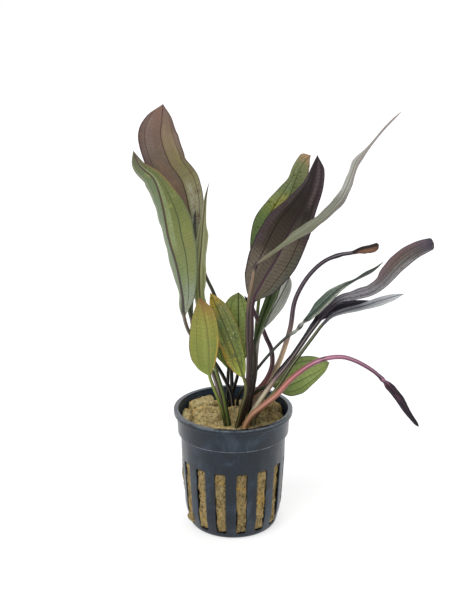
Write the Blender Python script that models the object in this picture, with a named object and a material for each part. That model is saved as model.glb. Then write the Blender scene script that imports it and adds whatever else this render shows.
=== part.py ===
"""A potted echinodorus: a water plant in its slotted net pot, with a plug of mineral wool.

Sizes are in millimetres, and each mesh is made in metres. The origin is the middle of the
pot's flat bottom, +Z is up, and the side that is seen from the front faces -Y.
"""

import math

import bmesh
import bpy
import numpy as np

MM = 0.001

# The pot is turned about Z: each point is a radius and a height.
SLOT_COUNT = 15
SLOT_TURN_DEG = -80.5
SLOT_HALF_ANGLE_DEG = 5.7
SLOT_TOP = 34.0
SLOT_BOTTOM = 3.0
POT_HEIGHT = 57.0
RIM_RADIUS = 27.5
COLLAR_FOOT = 45.8
POT_OUTSIDE = (
    (18.5, 0.0), (20.4, 1.3), (21.3, SLOT_BOTTOM), (22.7, 9.0), (23.6, 21.5), (24.1, SLOT_TOP),
    (24.3, 45.0), (25.7, COLLAR_FOOT), (26.1, 54.4), (27.2, 54.8), (RIM_RADIUS, 55.8),
    (27.0, 56.8), (26.2, POT_HEIGHT),
)
POT_INSIDE = (
    (25.5, 56.6), (25.0, 55.0), (24.7, 46.6), (23.3, 45.3), (23.1, SLOT_TOP), (22.6, 21.5),
    (21.7, 9.0), (20.3, SLOT_BOTTOM), (19.2, 2.0), (17.8, 1.3),
)

# The plug of wool keeps clear of the pot, and has a well where the stalks stand.
WOOL_SIDE = ((17.3, 1.7), (18.8, 2.6), (19.9, 3.8), (21.3, 9.2), (22.2, 21.5), (22.7, 34.0),
             (22.9, 45.2), (24.1, 47.2), (24.2, 49.0))
WOOL_TOP = 51.5
WOOL_LUMPS = (  # x, y, extra height, radius
    (-15.0, 10.0, 3.4, 7.0), (-18.0, -5.0, 1.6, 6.0), (16.0, 9.0, 3.0, 7.0),
    (-9.0, -17.0, 1.5, 6.0), (12.0, -14.0, 1.2, 6.0), (2.0, 19.0, -2.0, 6.0),
)
WELL_CENTRE = (2.6, 1.6)
WELL_HALF = (8.6, 14.2)
WELL_FLARE = 1.5
WELL_POWER = 3.0
WELL_FLOOR = 43.0

# The crown is the rootstock that the stalks stand on, at the bottom of the well.
CROWN_GAP = 0.4
CROWN_EDGE_HEIGHT = 1.9
CROWN_HEIGHT = 2.9

# How a leaf is divided along its length and round its section.
STALK_STEP = 8.0
BLADE_STEP = 6.0
RING_POINTS = 8
BLADE_HALF_THICK = 0.34
TIP_HALF_THICK = 0.22

# Each leaf: the route of its stalk and midrib, the route point where the blade starts, the
# stalk's radius at its foot and at the blade, the half widths left and right of the midrib at
# shares of the blade's length, how far each half is lifted towards the front in degrees at
# shares of the blade's length, and its colour.
LEAVES = {
    "leaf_tall_bronze": dict(
        route=((0.5, 13.2, 47), (-0.3, 13.5, 55), (-0.6, 13.5, 62.5), (-1.5, 12, 79.5),
               (-4.5, 10, 97), (-9, 9, 109.5), (-13, 8.5, 119), (-15.5, 8, 131),
               (-19, 9, 145.5), (-22.5, 11, 160), (-28, 13, 168), (-32, 16, 179),
               (-31.5, 18, 187.5), (-31, 19, 193.5)),
        blade_from=6, stalk=(0.95, 0.8),
        widths=((0.16, 2.8, 3.6), (0.34, 6.0, 6.6), (0.52, 8.6, 8.8), (0.67, 10.2, 8.4),
                (0.81, 10.2, 7.8), (0.92, 7.3, 4.6)),
        lifts=((0.0, 10, 10), (0.5, 5, 30), (0.75, 5, 12), (1.0, 0, 0)),
        colour=(0.42, 0.33, 0.28)),
    "leaf_left_green": dict(
        route=((0.6, 8.2, 47), (-0.3, 8.2, 55), (-1, 8, 60.5), (-3.5, 6, 67.5), (-8, 3, 77),
               (-14, 0, 86.5), (-19.5, -2, 93.5), (-22, -4, 102.5), (-22.5, -5, 111.5),
               (-24.5, -6, 125), (-28, -7, 139), (-30.5, -6, 153.5), (-34, -4, 164),
               (-40, -2, 169.5), (-43, 1, 175.5)),
        blade_from=7, stalk=(0.95, 0.8),
        widths=((0.12, 3.2, 5.8), (0.29, 7.0, 9.2), (0.42, 8.4, 11.5), (0.53, 8.6, 11.8),
                (0.64, 8.0, 9.6), (0.74, 6.8, 6.2), (0.83, 5.6, 3.4), (0.93, 3.6, 1.8)),
        lifts=((0.0, -55, 5), (0.4, -68, 8), (0.52, -72, 8), (0.65, -60, 5), (0.8, -35, 0),
               (1.0, -20, 0)),
        colour=(0.37, 0.47, 0.27)),
    "leaf_left_narrow": dict(
        route=((-1.2, -6.6, 47), (-1.8, -7.6, 52), (-3, -7.5, 58), (-4.5, -7, 66),
               (-7.5, -6, 76.5), (-11.5, -5, 92.5), (-14.5, -3, 108), (-15, -1, 120.5),
               (-14, 1, 134), (-13, 2, 146), (-12, 3, 154.5), (-10.5, 3, 161.5)),
        blade_from=5, stalk=(0.95, 0.8),
        widths=((0.23, 2.4, 4.0), (0.41, 2.9, 4.8), (0.6, 2.8, 4.9), (0.775, 1.2, 1.9),
                (0.9, 0.6, 0.6)),
        lifts=((0.0, -15, -40), (0.3, -20, -58), (0.7, -20, -58), (1.0, -10, -30)),
        colour=(0.40, 0.44, 0.22)),
    "leaf_left_hooked": dict(
        route=((-4, 2, 47), (-4, 1, 54), (-6, -1, 62.5), (-8.5, -2.5, 72.5), (-13, -4, 84.5),
               (-16.8, -3.4, 93.5), (-18.8, -1, 100), (-20, 2.2, 117.5), (-19, 4, 130.5),
               (-17.5, 5, 141.5), (-16.5, 5, 149)),
        blade_from=6, stalk=(1.1, 0.8),
        widths=((0.3, 2.6, 2.6), (0.55, 2.8, 2.8), (0.8, 1.8, 1.6)),
        lifts=((0.0, 20, 20), (1.0, 10, 10)),
        colour=(0.36, 0.38, 0.28)),
    "leaf_back_green": dict(
        route=((5.8, 11, 47), (7.5, 11.5, 57), (9.5, 12, 75.5), (10.5, 12.5, 88),
               (11.5, 12.5, 101.5), (13, 12.5, 114.5), (15.5, 12.5, 128.5), (19, 13, 138.5),
               (23, 14, 147.5), (26.5, 15.5, 156), (29.5, 17.5, 164), (32.5, 19.5, 168.5),
               (35, 21, 170.5)),
        blade_from=5, stalk=(0.9, 0.75),
        widths=((0.1, 4.2, 3.0), (0.23, 8.2, 5.5), (0.40, 10.4, 7.5), (0.56, 8.5, 8.0),
                (0.70, 5.4, 7.0), (0.80, 3.2, 5.6), (0.88, 3.4, 4.6), (0.95, 3.4, 2.8)),
        lifts=((0.0, -10, -10), (1.0, -10, -10)),
        colour=(0.36, 0.44, 0.19)),
    "leaf_centre_purple": dict(
        route=((3.2, -2.6, 47), (5.1, -5.3, 57.5), (6.3, -6, 65.5), (7.1, -6, 72.5),
               (7.7, -6.5, 82.5), (8.1, -7.5, 97), (8.7, -8.5, 110.5), (13, -9, 120),
               (19.5, -8, 131), (24.5, -5, 141.5), (30, -1, 151), (34.5, 3, 160.5),
               (37, 9, 172.5)),
        blade_from=6, stalk=(1.2, 1.0),
        widths=((0.07, 5.5, 5.0), (0.146, 9.0, 7.6), (0.325, 13.0, 9.4), (0.49, 11.8, 9.2),
                (0.655, 7.9, 6.5), (0.81, 3.9, 5.1), (0.91, 2.0, 4.1)),
        lifts=((0.0, 10, 15), (0.5, 8, 15), (1.0, 0, 0)),
        colour=(0.23, 0.19, 0.16)),
    "leaf_long_twisted": dict(
        route=((2.4, -6.2, 47), (3.5, -8.2, 54), (4.5, -8.6, 60), (5.8, -9, 66.5),
               (6.6, -9.3, 74), (6.8, -9.6, 84), (6.3, -11.5, 98.5), (6.9, -13.5, 112.5),
               (8.3, -15, 121), (9.8, -16, 129), (13.4, -17, 132.2), (20, -18, 137.5),
               (26.4, -18.5, 142.6), (32.6, -18.5, 146.8), (39.1, -18, 151.8), (44.5, -17, 157.5),
               (47.5, -16, 163), (49.5, -15, 168), (51.5, -13.5, 173), (57.2, -10, 179),
               (64, -7.5, 186.7), (71.1, -5, 193.3)),
        blade_from=9, stalk=(1.0, 0.8),
        widths=((0.06, 1.0, 1.0), (0.15, 2.7, 2.7), (0.24, 4.2, 4.2), (0.33, 5.2, 5.2), (0.42, 5.0, 5.0),
                (0.5, 4.5, 4.5), (0.57, 4.2, 4.2), (0.64, 3.2, 3.2), (0.7, 2.9, 2.9), (0.76, 1.6, 1.6),
                (0.82, 1.0, 1.0), (0.9, 0.9, 0.9), (0.95, 0.7, 0.7)),
        lifts=((0.0, -50, 50), (0.1, -80, 80), (0.45, -80, 80), (0.58, -72, 72),
               (0.65, -72, 72), (0.78, -81, 81), (1.0, -76, 76)),
        colour=(0.48, 0.50, 0.40)),
    "leaf_centre_folded": dict(
        route=((6, -0.4, 47), (7.5, -2.2, 58), (9.2, -2.5, 68), (10, -2, 80), (9.7, -1.5, 88),
               (12.3, -1.5, 98), (15.5, -0.5, 107), (18, 2, 113.5), (21, 5, 121), (24, 9, 127)),
        blade_from=4, stalk=(0.85, 0.75),
        widths=((0.23, 1.9, 2.2), (0.45, 3.0, 3.3), (0.64, 3.3, 3.5), (0.84, 2.2, 2.3)),
        lifts=((0.0, 40, 40), (1.0, 40, 40)),
        colour=(0.20, 0.27, 0.12)),
    "leaf_centre_silver": dict(
        route=((7.2, 4.6, 47), (8.6, 4.7, 59.5), (10.5, 5, 71), (11, 4.5, 82), (12, 4, 90),
               (14, 3.5, 94.5), (17, 4, 101), (21, 5, 108), (24, 6, 114), (25.5, 6, 118)),
        blade_from=5, stalk=(0.8, 0.6),
        widths=((0.25, 2.8, 2.8), (0.5, 3.8, 3.6), (0.75, 3.6, 3.3), (0.92, 2.0, 1.9)),
        lifts=((0.0, -10, 20), (1.0, -10, 20)),
        colour=(0.66, 0.66, 0.62)),
    "leaf_front_yellow": dict(
        route=((-3, -9.6, 47), (-3.6, -10.2, 52.5), (-4.6, -11, 58.5), (-6.5, -12.5, 65.5),
               (-9, -14, 73), (-10.5, -15, 78.5), (-10.5, -16, 87), (-11, -17.5, 97.5),
               (-12.5, -18.5, 108), (-14.5, -19, 115.5)),
        blade_from=5, stalk=(0.9, 0.7),
        widths=((0.08, 5.2, 1.9), (0.2, 8.0, 3.1), (0.36, 8.7, 4.3), (0.51, 8.2, 5.0),
                (0.65, 7.0, 5.2), (0.79, 5.2, 4.8), (0.91, 2.6, 2.6)),
        lifts=((0.0, -5, 10), (1.0, -5, 10)),
        colour=(0.55, 0.56, 0.19)),
    "leaf_front_spotted": dict(
        route=((0.8, -9.6, 47), (2.2, -10.8, 53.5), (4, -12, 62), (5.5, -12.5, 68),
               (5.6, -12.3, 73), (4.6, -11.2, 76), (1, -9, 86.5), (-3, -9, 97.5),
               (-6.5, -9.5, 106.5), (-10, -10, 115)),
        blade_from=5, stalk=(1.2, 0.7),
        widths=((0.1, 4.0, 2.6), (0.27, 5.8, 4.0), (0.55, 6.0, 5.5), (0.7, 5.2, 5.2),
                (0.8, 3.8, 4.6), (0.91, 2.0, 2.6)),
        lifts=((0.0, -10, 0), (1.0, -10, 0)),
        colour=(0.43, 0.44, 0.19)),
    "leaf_front_green": dict(
        route=((-2.2, 10.4, 47), (-1.6, 10.8, 54.5), (-0.2, 10.6, 60), (2, 7.5, 69.5),
               (2.7, 5, 76), (2.7, 3, 86), (2.4, 1.5, 98.5), (2.3, 1, 106), (2.4, 1, 112)),
        blade_from=4, stalk=(0.85, 0.75),
        widths=((0.1, 3.2, 3.2), (0.28, 5.8, 5.8), (0.45, 7.2, 7.0), (0.63, 7.6, 7.0),
                (0.83, 6.2, 4.6), (0.94, 3.6, 2.4)),
        lifts=((0.0, 0, -5), (1.0, 0, -5)),
        colour=(0.36, 0.43, 0.17)),
    "leaf_front_low": dict(
        route=((-3.8, 6.6, 47), (-3.2, 8.6, 55), (-2.8, 9.6, 60), (-2.5, 9, 66.5),
               (-2.4, 5.5, 72), (-2.2, 2, 75.5), (-3.7, -1, 84.5), (-6.4, -3, 93.5), (-8.8, -4, 101)),
        blade_from=5, stalk=(0.8, 0.7),
        widths=((0.12, 2.4, 2.4), (0.32, 4.4, 4.2), (0.6, 4.6, 4.6), (0.85, 2.6, 2.6)),
        lifts=((0.0, 0, 0), (1.0, 0, 0)),
        colour=(0.37, 0.44, 0.14)),
    "leaf_arched_withered": dict(
        route=((8.2, 8.4, 47), (10.3, 8.6, 56), (13.5, 9.4, 60.5), (17.3, 10.4, 67),
               (21, 10.4, 74), (24, 10, 83), (26.5, 10, 92.5), (28, 9, 104.5), (31, 8, 112.5),
               (35.5, 6, 120), (41.5, 4, 126), (48.5, 3, 129), (53, 2, 130), (57, 1.5, 132),
               (61, 1, 133), (64.5, 0.5, 134)),
        blade_from=12, stalk=(1.45, 0.85),
        widths=((0.2, 0.9, 1.6), (0.45, 0.9, 2.8), (0.75, 1.0, 2.8), (0.93, 1.2, 2.0)),
        lifts=((0.0, 0, 0), (1.0, 0, 0)),
        colour=(0.40, 0.30, 0.28)),
    "leaf_right_green": dict(
        route=((3, 11.4, 47), (1.9, 11, 54), (3, 9.5, 59.5), (6, 6.2, 65.5), (9.2, 1.8, 72.5),
               (16.7, -1, 83.5), (23.5, -4, 92), (28.5, -6, 96.5), (31, -6.5, 100),
               (34.5, -7, 104), (39, -7.5, 109), (44, -7.5, 114), (49, -7, 117.5),
               (53, -6.5, 119.5), (57.5, -6, 122), (62, -5.5, 124.5), (66.2, -5, 128)),
        blade_from=8, stalk=(0.75, 0.6),
        widths=((0.12, 1.3, 2.2), (0.25, 2.5, 3.1), (0.37, 2.5, 2.8), (0.48, 1.8, 2.0),
                (0.58, 1.1, 1.1), (0.67, 0.6, 0.6), (0.8, 1.0, 0.9), (0.91, 0.5, 0.5)),
        lifts=((0.0, -10, 50), (0.5, -10, 58), (1.0, 0, 20)),
        colour=(0.24, 0.33, 0.24)),
    "leaf_right_bronze": dict(
        route=((6.3, -5.4, 47), (7, -5.6, 53), (9.8, -6.4, 58.5), (13.5, -7, 65),
               (19, -7.5, 73.5), (23.5, -8, 79.5), (27.8, -8, 86), (33.8, -7, 95), (37.6, -6, 100),
               (41.5, -4.8, 105.5), (47.3, -4, 110.5), (54, -3, 112.2), (61, -2, 114), (66, -1, 117.5),
               (70, 0, 122), (75, 1.5, 127), (80.5, 3, 130.5), (85.4, 4.5, 132.2), (89.8, 6, 133.4)),
        blade_from=8, stalk=(1.25, 0.9),
        widths=((0.09, 1.6, 1.4), (0.2, 2.2, 1.8), (0.32, 3.0, 2.6), (0.43, 3.7, 2.8),
                (0.53, 4.2, 3.1), (0.63, 4.8, 3.7), (0.74, 5.0, 4.0), (0.84, 4.1, 3.6),
                (0.93, 3.5, 3.0), (0.985, 2.8, 2.4)),
        lifts=((0.0, 20, 20), (0.35, 38, 30), (0.7, 20, 30), (1.0, 5, 20)),
        colour=(0.33, 0.27, 0.26)),
    "leaf_right_silver": dict(
        route=((9.2, -6, 47), (9.8, -7.4, 54.5), (12, -9, 59), (15.3, -10.2, 64.5),
               (19.5, -10.5, 70), (25.5, -11, 80.5), (29.7, -10.5, 86.5), (36.2, -9.5, 95.5),
               (39.4, -9, 99.8), (43.8, -8.5, 103.9), (49, -8, 105.8), (54.5, -7.5, 107),
               (59.5, -7.5, 108.6), (65, -7, 110.4), (70, -6.5, 111.8), (75.5, -6, 113.3)),
        blade_from=8, stalk=(1.0, 0.7),
        widths=((0.12, 0.9, 0.9), (0.3, 1.2, 1.4), (0.5, 1.5, 1.9), (0.7, 1.8, 2.5),
                (0.85, 1.5, 2.0), (0.94, 0.8, 0.9)),
        lifts=((0.0, -20, 40), (0.4, -30, 58), (1.0, -30, 50)),
        colour=(0.60, 0.61, 0.58)),
    "leaf_right_dark": dict(
        route=((9, -1.6, 47), (10, -3, 57.5), (13.5, -3.8, 64.5), (19, -4.5, 73.5),
               (24.3, -5, 81), (27, -5, 84.5), (33, -4.5, 94), (36.3, -3, 99), (40, -1.5, 102),
               (45, 0, 104.2), (50.5, 1, 105.8), (56, 1, 106.8), (63.3, 1, 108)),
        blade_from=7, stalk=(0.9, 0.95),
        widths=((0.2, 2.2, 2.2), (0.4, 2.9, 2.8), (0.6, 2.0, 2.2), (0.8, 1.3, 1.4)),
        lifts=((0.0, -10, 20), (1.0, -10, 20)),
        colour=(0.13, 0.10, 0.12)),
    "leaf_low_green": dict(
        route=((3.4, 3, 47), (6.4, 1.5, 58), (8.7, 1, 62.5), (12.5, 0.5, 65.5), (17, 0, 68),
               (23.5, -0.5, 71), (30.5, -1, 74.5), (38, -1, 77), (44, -0.5, 79)),
        blade_from=4, stalk=(0.85, 0.8),
        widths=((0.1, 3.4, 5.4), (0.25, 6.0, 9.2), (0.51, 7.0, 9.1), (0.78, 5.6, 5.2),
                (0.91, 2.6, 3.0)),
        lifts=((0.0, -8, 10), (1.0, -8, 10)),
        colour=(0.37, 0.47, 0.19)),
    "leaf_drooping_new": dict(
        route=((4.4, -9, 47), (5.6, -10.8, 52.5), (8.5, -12, 58), (13.5, -13, 63),
               (19.5, -14.5, 69), (24.5, -15.5, 75.5), (30, -16.5, 81), (35.5, -17, 85),
               (42, -17.5, 87.5), (48, -18, 88), (53, -18, 86.5), (58, -18.5, 84),
               (62.5, -19, 81), (66.5, -19, 77), (72.5, -19.5, 70.5), (77.5, -20, 62.5),
               (82.5, -20.5, 56)),
        blade_from=13, stalk=(1.5, 0.8),
        widths=((0.12, 2.2, 1.9), (0.4, 2.1, 2.1), (0.75, 1.4, 1.3), (0.93, 0.9, 0.9)),
        lifts=((0.0, 30, 30), (1.0, 30, 30)),
        colour=(0.45, 0.22, 0.22)),
    "stalk_dark_curved": dict(
        route=((4.2, 7, 47), (5.4, 7.3, 56), (8.6, 7.5, 59.5), (12.5, 7.5, 63.5),
               (16, 7.5, 68.5), (18, 7.5, 74), (18.2, 8, 78.5), (17.5, 8, 83), (15.5, 8, 87.5),
               (13.5, 8, 92.5), (10.5, 8, 98.5), (8, 7, 104), (5, 6, 109)),
        blade_from=11, stalk=(1.3, 0.95),
        widths=((0.5, 0.8, 0.8),),
        lifts=((0.0, 0, 0), (1.0, 0, 0)),
        colour=(0.24, 0.13, 0.16)),
}


def clear_scene():
    for obj in list(bpy.data.objects):
        bpy.data.objects.remove(obj, do_unlink=True)


def plain_material(name, colour, roughness):
    """A Principled BSDF material of one colour."""
    material = bpy.data.materials.new(name)
    material.use_nodes = True
    shader = material.node_tree.nodes["Principled BSDF"]
    shader.inputs["Base Color"].default_value = (*colour, 1.0)
    shader.inputs["Roughness"].default_value = roughness
    shader.inputs["Metallic"].default_value = 0.0
    return material


def solid(name, points, faces, colour, roughness):
    """A named object from points in millimetres and faces that may face either way."""
    mesh = bpy.data.meshes.new(name)
    mesh.from_pydata([tuple(point * MM) for point in np.array(points, float)], [], faces)
    shape = bmesh.new()
    shape.from_mesh(mesh)
    bmesh.ops.recalc_face_normals(shape, faces=shape.faces)
    shape.to_mesh(mesh)
    shape.free()
    mesh.shade_smooth()
    mesh.set_sharp_from_angle(angle=math.radians(40))
    mesh.materials.append(plain_material(name, colour, roughness))
    obj = bpy.data.objects.new(name, mesh)
    bpy.context.scene.collection.objects.link(obj)
    return obj


def column_angles():
    """The angles of the pot's columns: the two edges of each slot in turn."""
    pitch = 360.0 / SLOT_COUNT
    middles = [SLOT_TURN_DEG + number * pitch for number in range(SLOT_COUNT)]
    sides = (-SLOT_HALF_ANGLE_DEG, SLOT_HALF_ANGLE_DEG)
    return [math.radians(middle + side) for middle in middles for side in sides]


def turned_ring(radius, height, angles):
    return [(radius * math.cos(a), radius * math.sin(a), height) for a in angles]


def bridge(low, high, count, skip=()):
    """Quads between two rings that start at these point numbers, without the skipped columns."""
    return [
        (low + k, low + (k + 1) % count, high + (k + 1) % count, high + k)
        for k in range(count) if k not in skip
    ]


def make_pot():
    """One closed wall with the slots left out of both its sides and their edges filled."""
    angles = column_angles()
    count = len(angles)
    profile = POT_OUTSIDE + POT_INSIDE
    points = [p for radius, height in profile for p in turned_ring(radius, height, angles)]
    slots = range(0, count, 2)
    outer = [i for i, p in enumerate(POT_OUTSIDE) if SLOT_BOTTOM <= p[1] <= SLOT_TOP]
    inner = [len(POT_OUTSIDE) + i for i, p in enumerate(POT_INSIDE)
             if SLOT_BOTTOM <= p[1] <= SLOT_TOP]
    open_rows = set(outer[:-1]) | set(inner[:-1])
    faces = []
    for row in range(len(profile) - 1):
        skip = slots if row in open_rows else ()
        faces += bridge(row * count, (row + 1) * count, count, skip)
    for slot in slots:
        rings = list(zip(outer, reversed(inner)))
        for (out_a, in_a), (out_b, in_b) in zip(rings, rings[1:]):
            for side in (slot, slot + 1):
                rows = (out_a, out_b, in_b, in_a)
                faces.append(tuple(row * count + side for row in rows))
        for out_row, in_row in (rings[0], rings[-1]):
            faces.append((out_row * count + slot, out_row * count + slot + 1,
                          in_row * count + slot + 1, in_row * count + slot))
    for row, height in ((0, POT_OUTSIDE[0][1]), (len(profile) - 1, POT_INSIDE[-1][1])):
        middle = len(points)
        points.append((0.0, 0.0, height))
        faces += [(row * count + k, row * count + (k + 1) % count, middle) for k in range(count)]
    solid("pot", points, faces, (0.045, 0.055, 0.065), 0.42)


def lump_height(x, y):
    """The height of the wool's top at a place, with its lumps and hollows."""
    height = WOOL_TOP
    for lump_x, lump_y, extra, radius in WOOL_LUMPS:
        away = ((x - lump_x) ** 2 + (y - lump_y) ** 2) / radius ** 2
        height += extra * math.exp(-away)
    return height


def well_outline(angle, flare):
    """A point of the well's rounded outline, seen from its middle at this angle."""
    half_x, half_y = WELL_HALF[0] + flare, WELL_HALF[1] + flare
    cosine, sine = math.cos(angle), math.sin(angle)
    reach = (abs(cosine / half_x) ** WELL_POWER + abs(sine / half_y) ** WELL_POWER)
    radius = reach ** (-1.0 / WELL_POWER)
    return WELL_CENTRE[0] + radius * cosine, WELL_CENTRE[1] + radius * sine


def make_wool():
    """The plug: a turned side, a lumpy top, and the well down to its floor."""
    angles = column_angles()
    count = len(angles)
    points = [p for radius, height in WOOL_SIDE for p in turned_ring(radius, height, angles)]
    edge_radius, edge_height = WOOL_SIDE[-1]
    for share in (0.3, 0.65, 1.0):
        for angle in angles:
            well_x, well_y = well_outline(angle, WELL_FLARE)
            x = edge_radius * math.cos(angle) * (1 - share) + well_x * share
            y = edge_radius * math.sin(angle) * (1 - share) + well_y * share
            points.append((x, y, lump_height(x, y)))
    for angle in angles:
        points.append((*well_outline(angle, 0.0), WELL_FLOOR))
    rows = len(points) // count
    faces = []
    for row in range(rows - 1):
        faces += bridge(row * count, (row + 1) * count, count)
    faces += [[(rows - 1) * count + k for k in range(count)], list(range(count))]
    solid("wool_plug", points, faces, (0.42, 0.34, 0.15), 0.95)


def make_crown():
    """The rootstock: a low rounded cake that fits the foot of the well."""
    count = 20
    rows = ((0.0, -1.0), (CROWN_EDGE_HEIGHT, -1.0), (CROWN_HEIGHT, -2.6))
    points = []
    for height, flare in rows:
        for k in range(count):
            outline = well_outline(2 * math.pi * k / count, flare)
            points.append((*outline, WELL_FLOOR + CROWN_GAP + height))
    faces = bridge(0, count, count) + bridge(count, 2 * count, count)
    faces += [list(range(count)), list(range(2 * count, 3 * count))]
    solid("crown", points, faces, (0.16, 0.12, 0.08), 0.8)


def smooth_curve(route, per_span=12):
    """A smooth curve through the route's points, as closely spaced points."""
    route = np.array(route, float)
    ends = np.vstack([2 * route[0] - route[1], route, 2 * route[-1] - route[-2]])
    curve = []
    for before, start, end, after in zip(ends, ends[1:], ends[2:], ends[3:]):
        chord = np.linalg.norm(end - start)
        tangent_a = (end - before) * chord / (chord + np.linalg.norm(start - before))
        tangent_b = (after - start) * chord / (chord + np.linalg.norm(after - end))
        for t in np.arange(per_span) / per_span:
            curve.append(
                (2 * t ** 3 - 3 * t ** 2 + 1) * start + (t ** 3 - 2 * t ** 2 + t) * tangent_a
                + (3 * t ** 2 - 2 * t ** 3) * end + (t ** 3 - t ** 2) * tangent_b)
    curve.append(route[-1])
    return np.array(curve)


def smooth_values(shares, values, at):
    """Values that pass smoothly through the given ones and don't overshoot them."""
    shares, values = np.array(shares, float), np.array(values, float)
    steps = np.diff(values) / np.diff(shares)
    slopes = np.zeros(len(values))
    inner = np.where(steps[:-1] * steps[1:] > 0, 2 * steps[:-1] * steps[1:]
                     / np.where(steps[:-1] + steps[1:] == 0, 1, steps[:-1] + steps[1:]), 0)
    slopes[1:-1] = inner
    slopes[0], slopes[-1] = steps[0], steps[-1]
    span = np.clip(np.searchsorted(shares, at) - 1, 0, len(steps) - 1)
    width = shares[span + 1] - shares[span]
    t = np.clip((at - shares[span]) / width, 0, 1)
    return ((2 * t ** 3 - 3 * t ** 2 + 1) * values[span] + (t ** 3 - 2 * t ** 2 + t) * width
            * slopes[span] + (3 * t ** 2 - 2 * t ** 3) * values[span + 1]
            + (t ** 3 - t ** 2) * width * slopes[span + 1])


def leaf_sections(leaf):
    """Where the leaf's rings stand: middles, directions, half widths, lifts and thickness."""
    curve = smooth_curve(leaf["route"])
    run = np.concatenate([[0], np.cumsum(np.linalg.norm(np.diff(curve, axis=0), axis=1))])
    start = run[leaf["blade_from"] * 12]
    stalk_rings = max(3, round(start / STALK_STEP))
    blade_rings = max(4, round((run[-1] - start) / BLADE_STEP))
    at = np.concatenate([np.linspace(0, start, stalk_rings, endpoint=False),
                         np.linspace(start, run[-1], blade_rings + 1)])
    middles = np.stack([np.interp(at, run, curve[:, axis]) for axis in range(3)], axis=1)
    ahead = np.stack([np.interp(at + 0.5, run, curve[:, axis]) for axis in range(3)], axis=1)
    behind = np.stack([np.interp(at - 0.5, run, curve[:, axis]) for axis in range(3)], axis=1)
    along = ahead - behind
    along /= np.linalg.norm(along, axis=1)[:, None]
    blade = np.clip((at - start) / (run[-1] - start), 0, 1)
    foot, top = leaf["stalk"]
    stalk_radius = foot + (top - foot) * np.clip(at / start, 0, 1)
    table = [(0.0, top, top), *leaf["widths"], (1.0, 0.0, 0.0)]
    shares = [row[0] for row in table]
    left = np.where(at < start, stalk_radius, smooth_values(shares, [r[1] for r in table], blade))
    right = np.where(at < start, stalk_radius, smooth_values(shares, [r[2] for r in table], blade))
    turn_shares = [row[0] for row in leaf["lifts"]]
    fade = np.clip(blade / 0.12, 0, 1)
    lift_left = np.radians(np.interp(blade, turn_shares, [r[1] for r in leaf["lifts"]])) * fade
    lift_right = np.radians(np.interp(blade, turn_shares, [r[2] for r in leaf["lifts"]])) * fade
    thick = np.where(
        at < start, stalk_radius,
        np.interp(blade, (0.0, 0.3, 1.0), (top, BLADE_HALF_THICK, TIP_HALF_THICK)))
    return middles, along, left, right, lift_left, lift_right, thick


def make_leaf(name, leaf):
    """Stalk and blade in one loft: a ring of points at each section, closed at both ends."""
    middles, along, left, right, lift_left, lift_right, thick = leaf_sections(leaf)
    away = np.array((0.0, 1.0, 0.0))
    points = []
    rings = len(middles) - 1
    for i in range(rings):
        across = np.cross(away, along[i])
        across /= np.linalg.norm(across)
        front = np.cross(across, along[i])
        for k in range(RING_POINTS):
            turn = 2 * math.pi * k / RING_POINTS
            out, up = math.cos(turn), math.sin(turn)
            if abs(out) < 1e-6:
                points.append(middles[i] + front * up * thick[i])
                continue
            side = 1 if out > 0 else -1
            width = right[i] if side > 0 else left[i]
            lift = lift_right[i] if side > 0 else lift_left[i]
            reach = across * side * math.cos(lift) + front * math.sin(lift)
            normal = front * math.cos(lift) - across * side * math.sin(lift)
            points.append(middles[i] + reach * abs(out) * width + normal * up * thick[i])
    faces = []
    for ring in range(rings - 1):
        faces += bridge(ring * RING_POINTS, (ring + 1) * RING_POINTS, RING_POINTS)
    faces.append(list(range(RING_POINTS)))
    tip = len(points)
    points.append(middles[-1])
    last = (rings - 1) * RING_POINTS
    faces += [(last + k, last + (k + 1) % RING_POINTS, tip) for k in range(RING_POINTS)]
    solid(name, points, faces, leaf["colour"], 0.5)


def main():
    clear_scene()
    make_pot()
    make_wool()
    make_crown()
    for name, leaf in LEAVES.items():
        make_leaf(name, leaf)


main()
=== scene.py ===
"""The looks of a potted echinodorus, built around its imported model.

Lengths are in millimetres unless a name or comment says metres, and every mesh ends in metres.
The origin is the middle of the pot's flat bottom, +Z is up, and the camera looks from -Y.
"""

import math

import bmesh
import bpy
import numpy as np
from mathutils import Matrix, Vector, noise


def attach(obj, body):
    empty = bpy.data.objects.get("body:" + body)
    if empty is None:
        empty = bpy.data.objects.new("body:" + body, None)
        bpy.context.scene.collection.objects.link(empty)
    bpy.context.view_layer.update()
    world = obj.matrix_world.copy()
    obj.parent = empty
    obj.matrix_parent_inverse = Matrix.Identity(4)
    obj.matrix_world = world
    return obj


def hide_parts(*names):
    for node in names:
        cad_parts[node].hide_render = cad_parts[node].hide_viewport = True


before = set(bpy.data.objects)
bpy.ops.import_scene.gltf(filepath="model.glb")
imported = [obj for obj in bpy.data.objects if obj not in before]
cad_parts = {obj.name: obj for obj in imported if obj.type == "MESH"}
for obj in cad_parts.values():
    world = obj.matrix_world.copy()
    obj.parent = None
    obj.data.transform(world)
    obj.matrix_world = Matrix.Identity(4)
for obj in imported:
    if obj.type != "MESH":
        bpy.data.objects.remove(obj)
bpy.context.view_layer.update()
MM = 0.001

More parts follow.
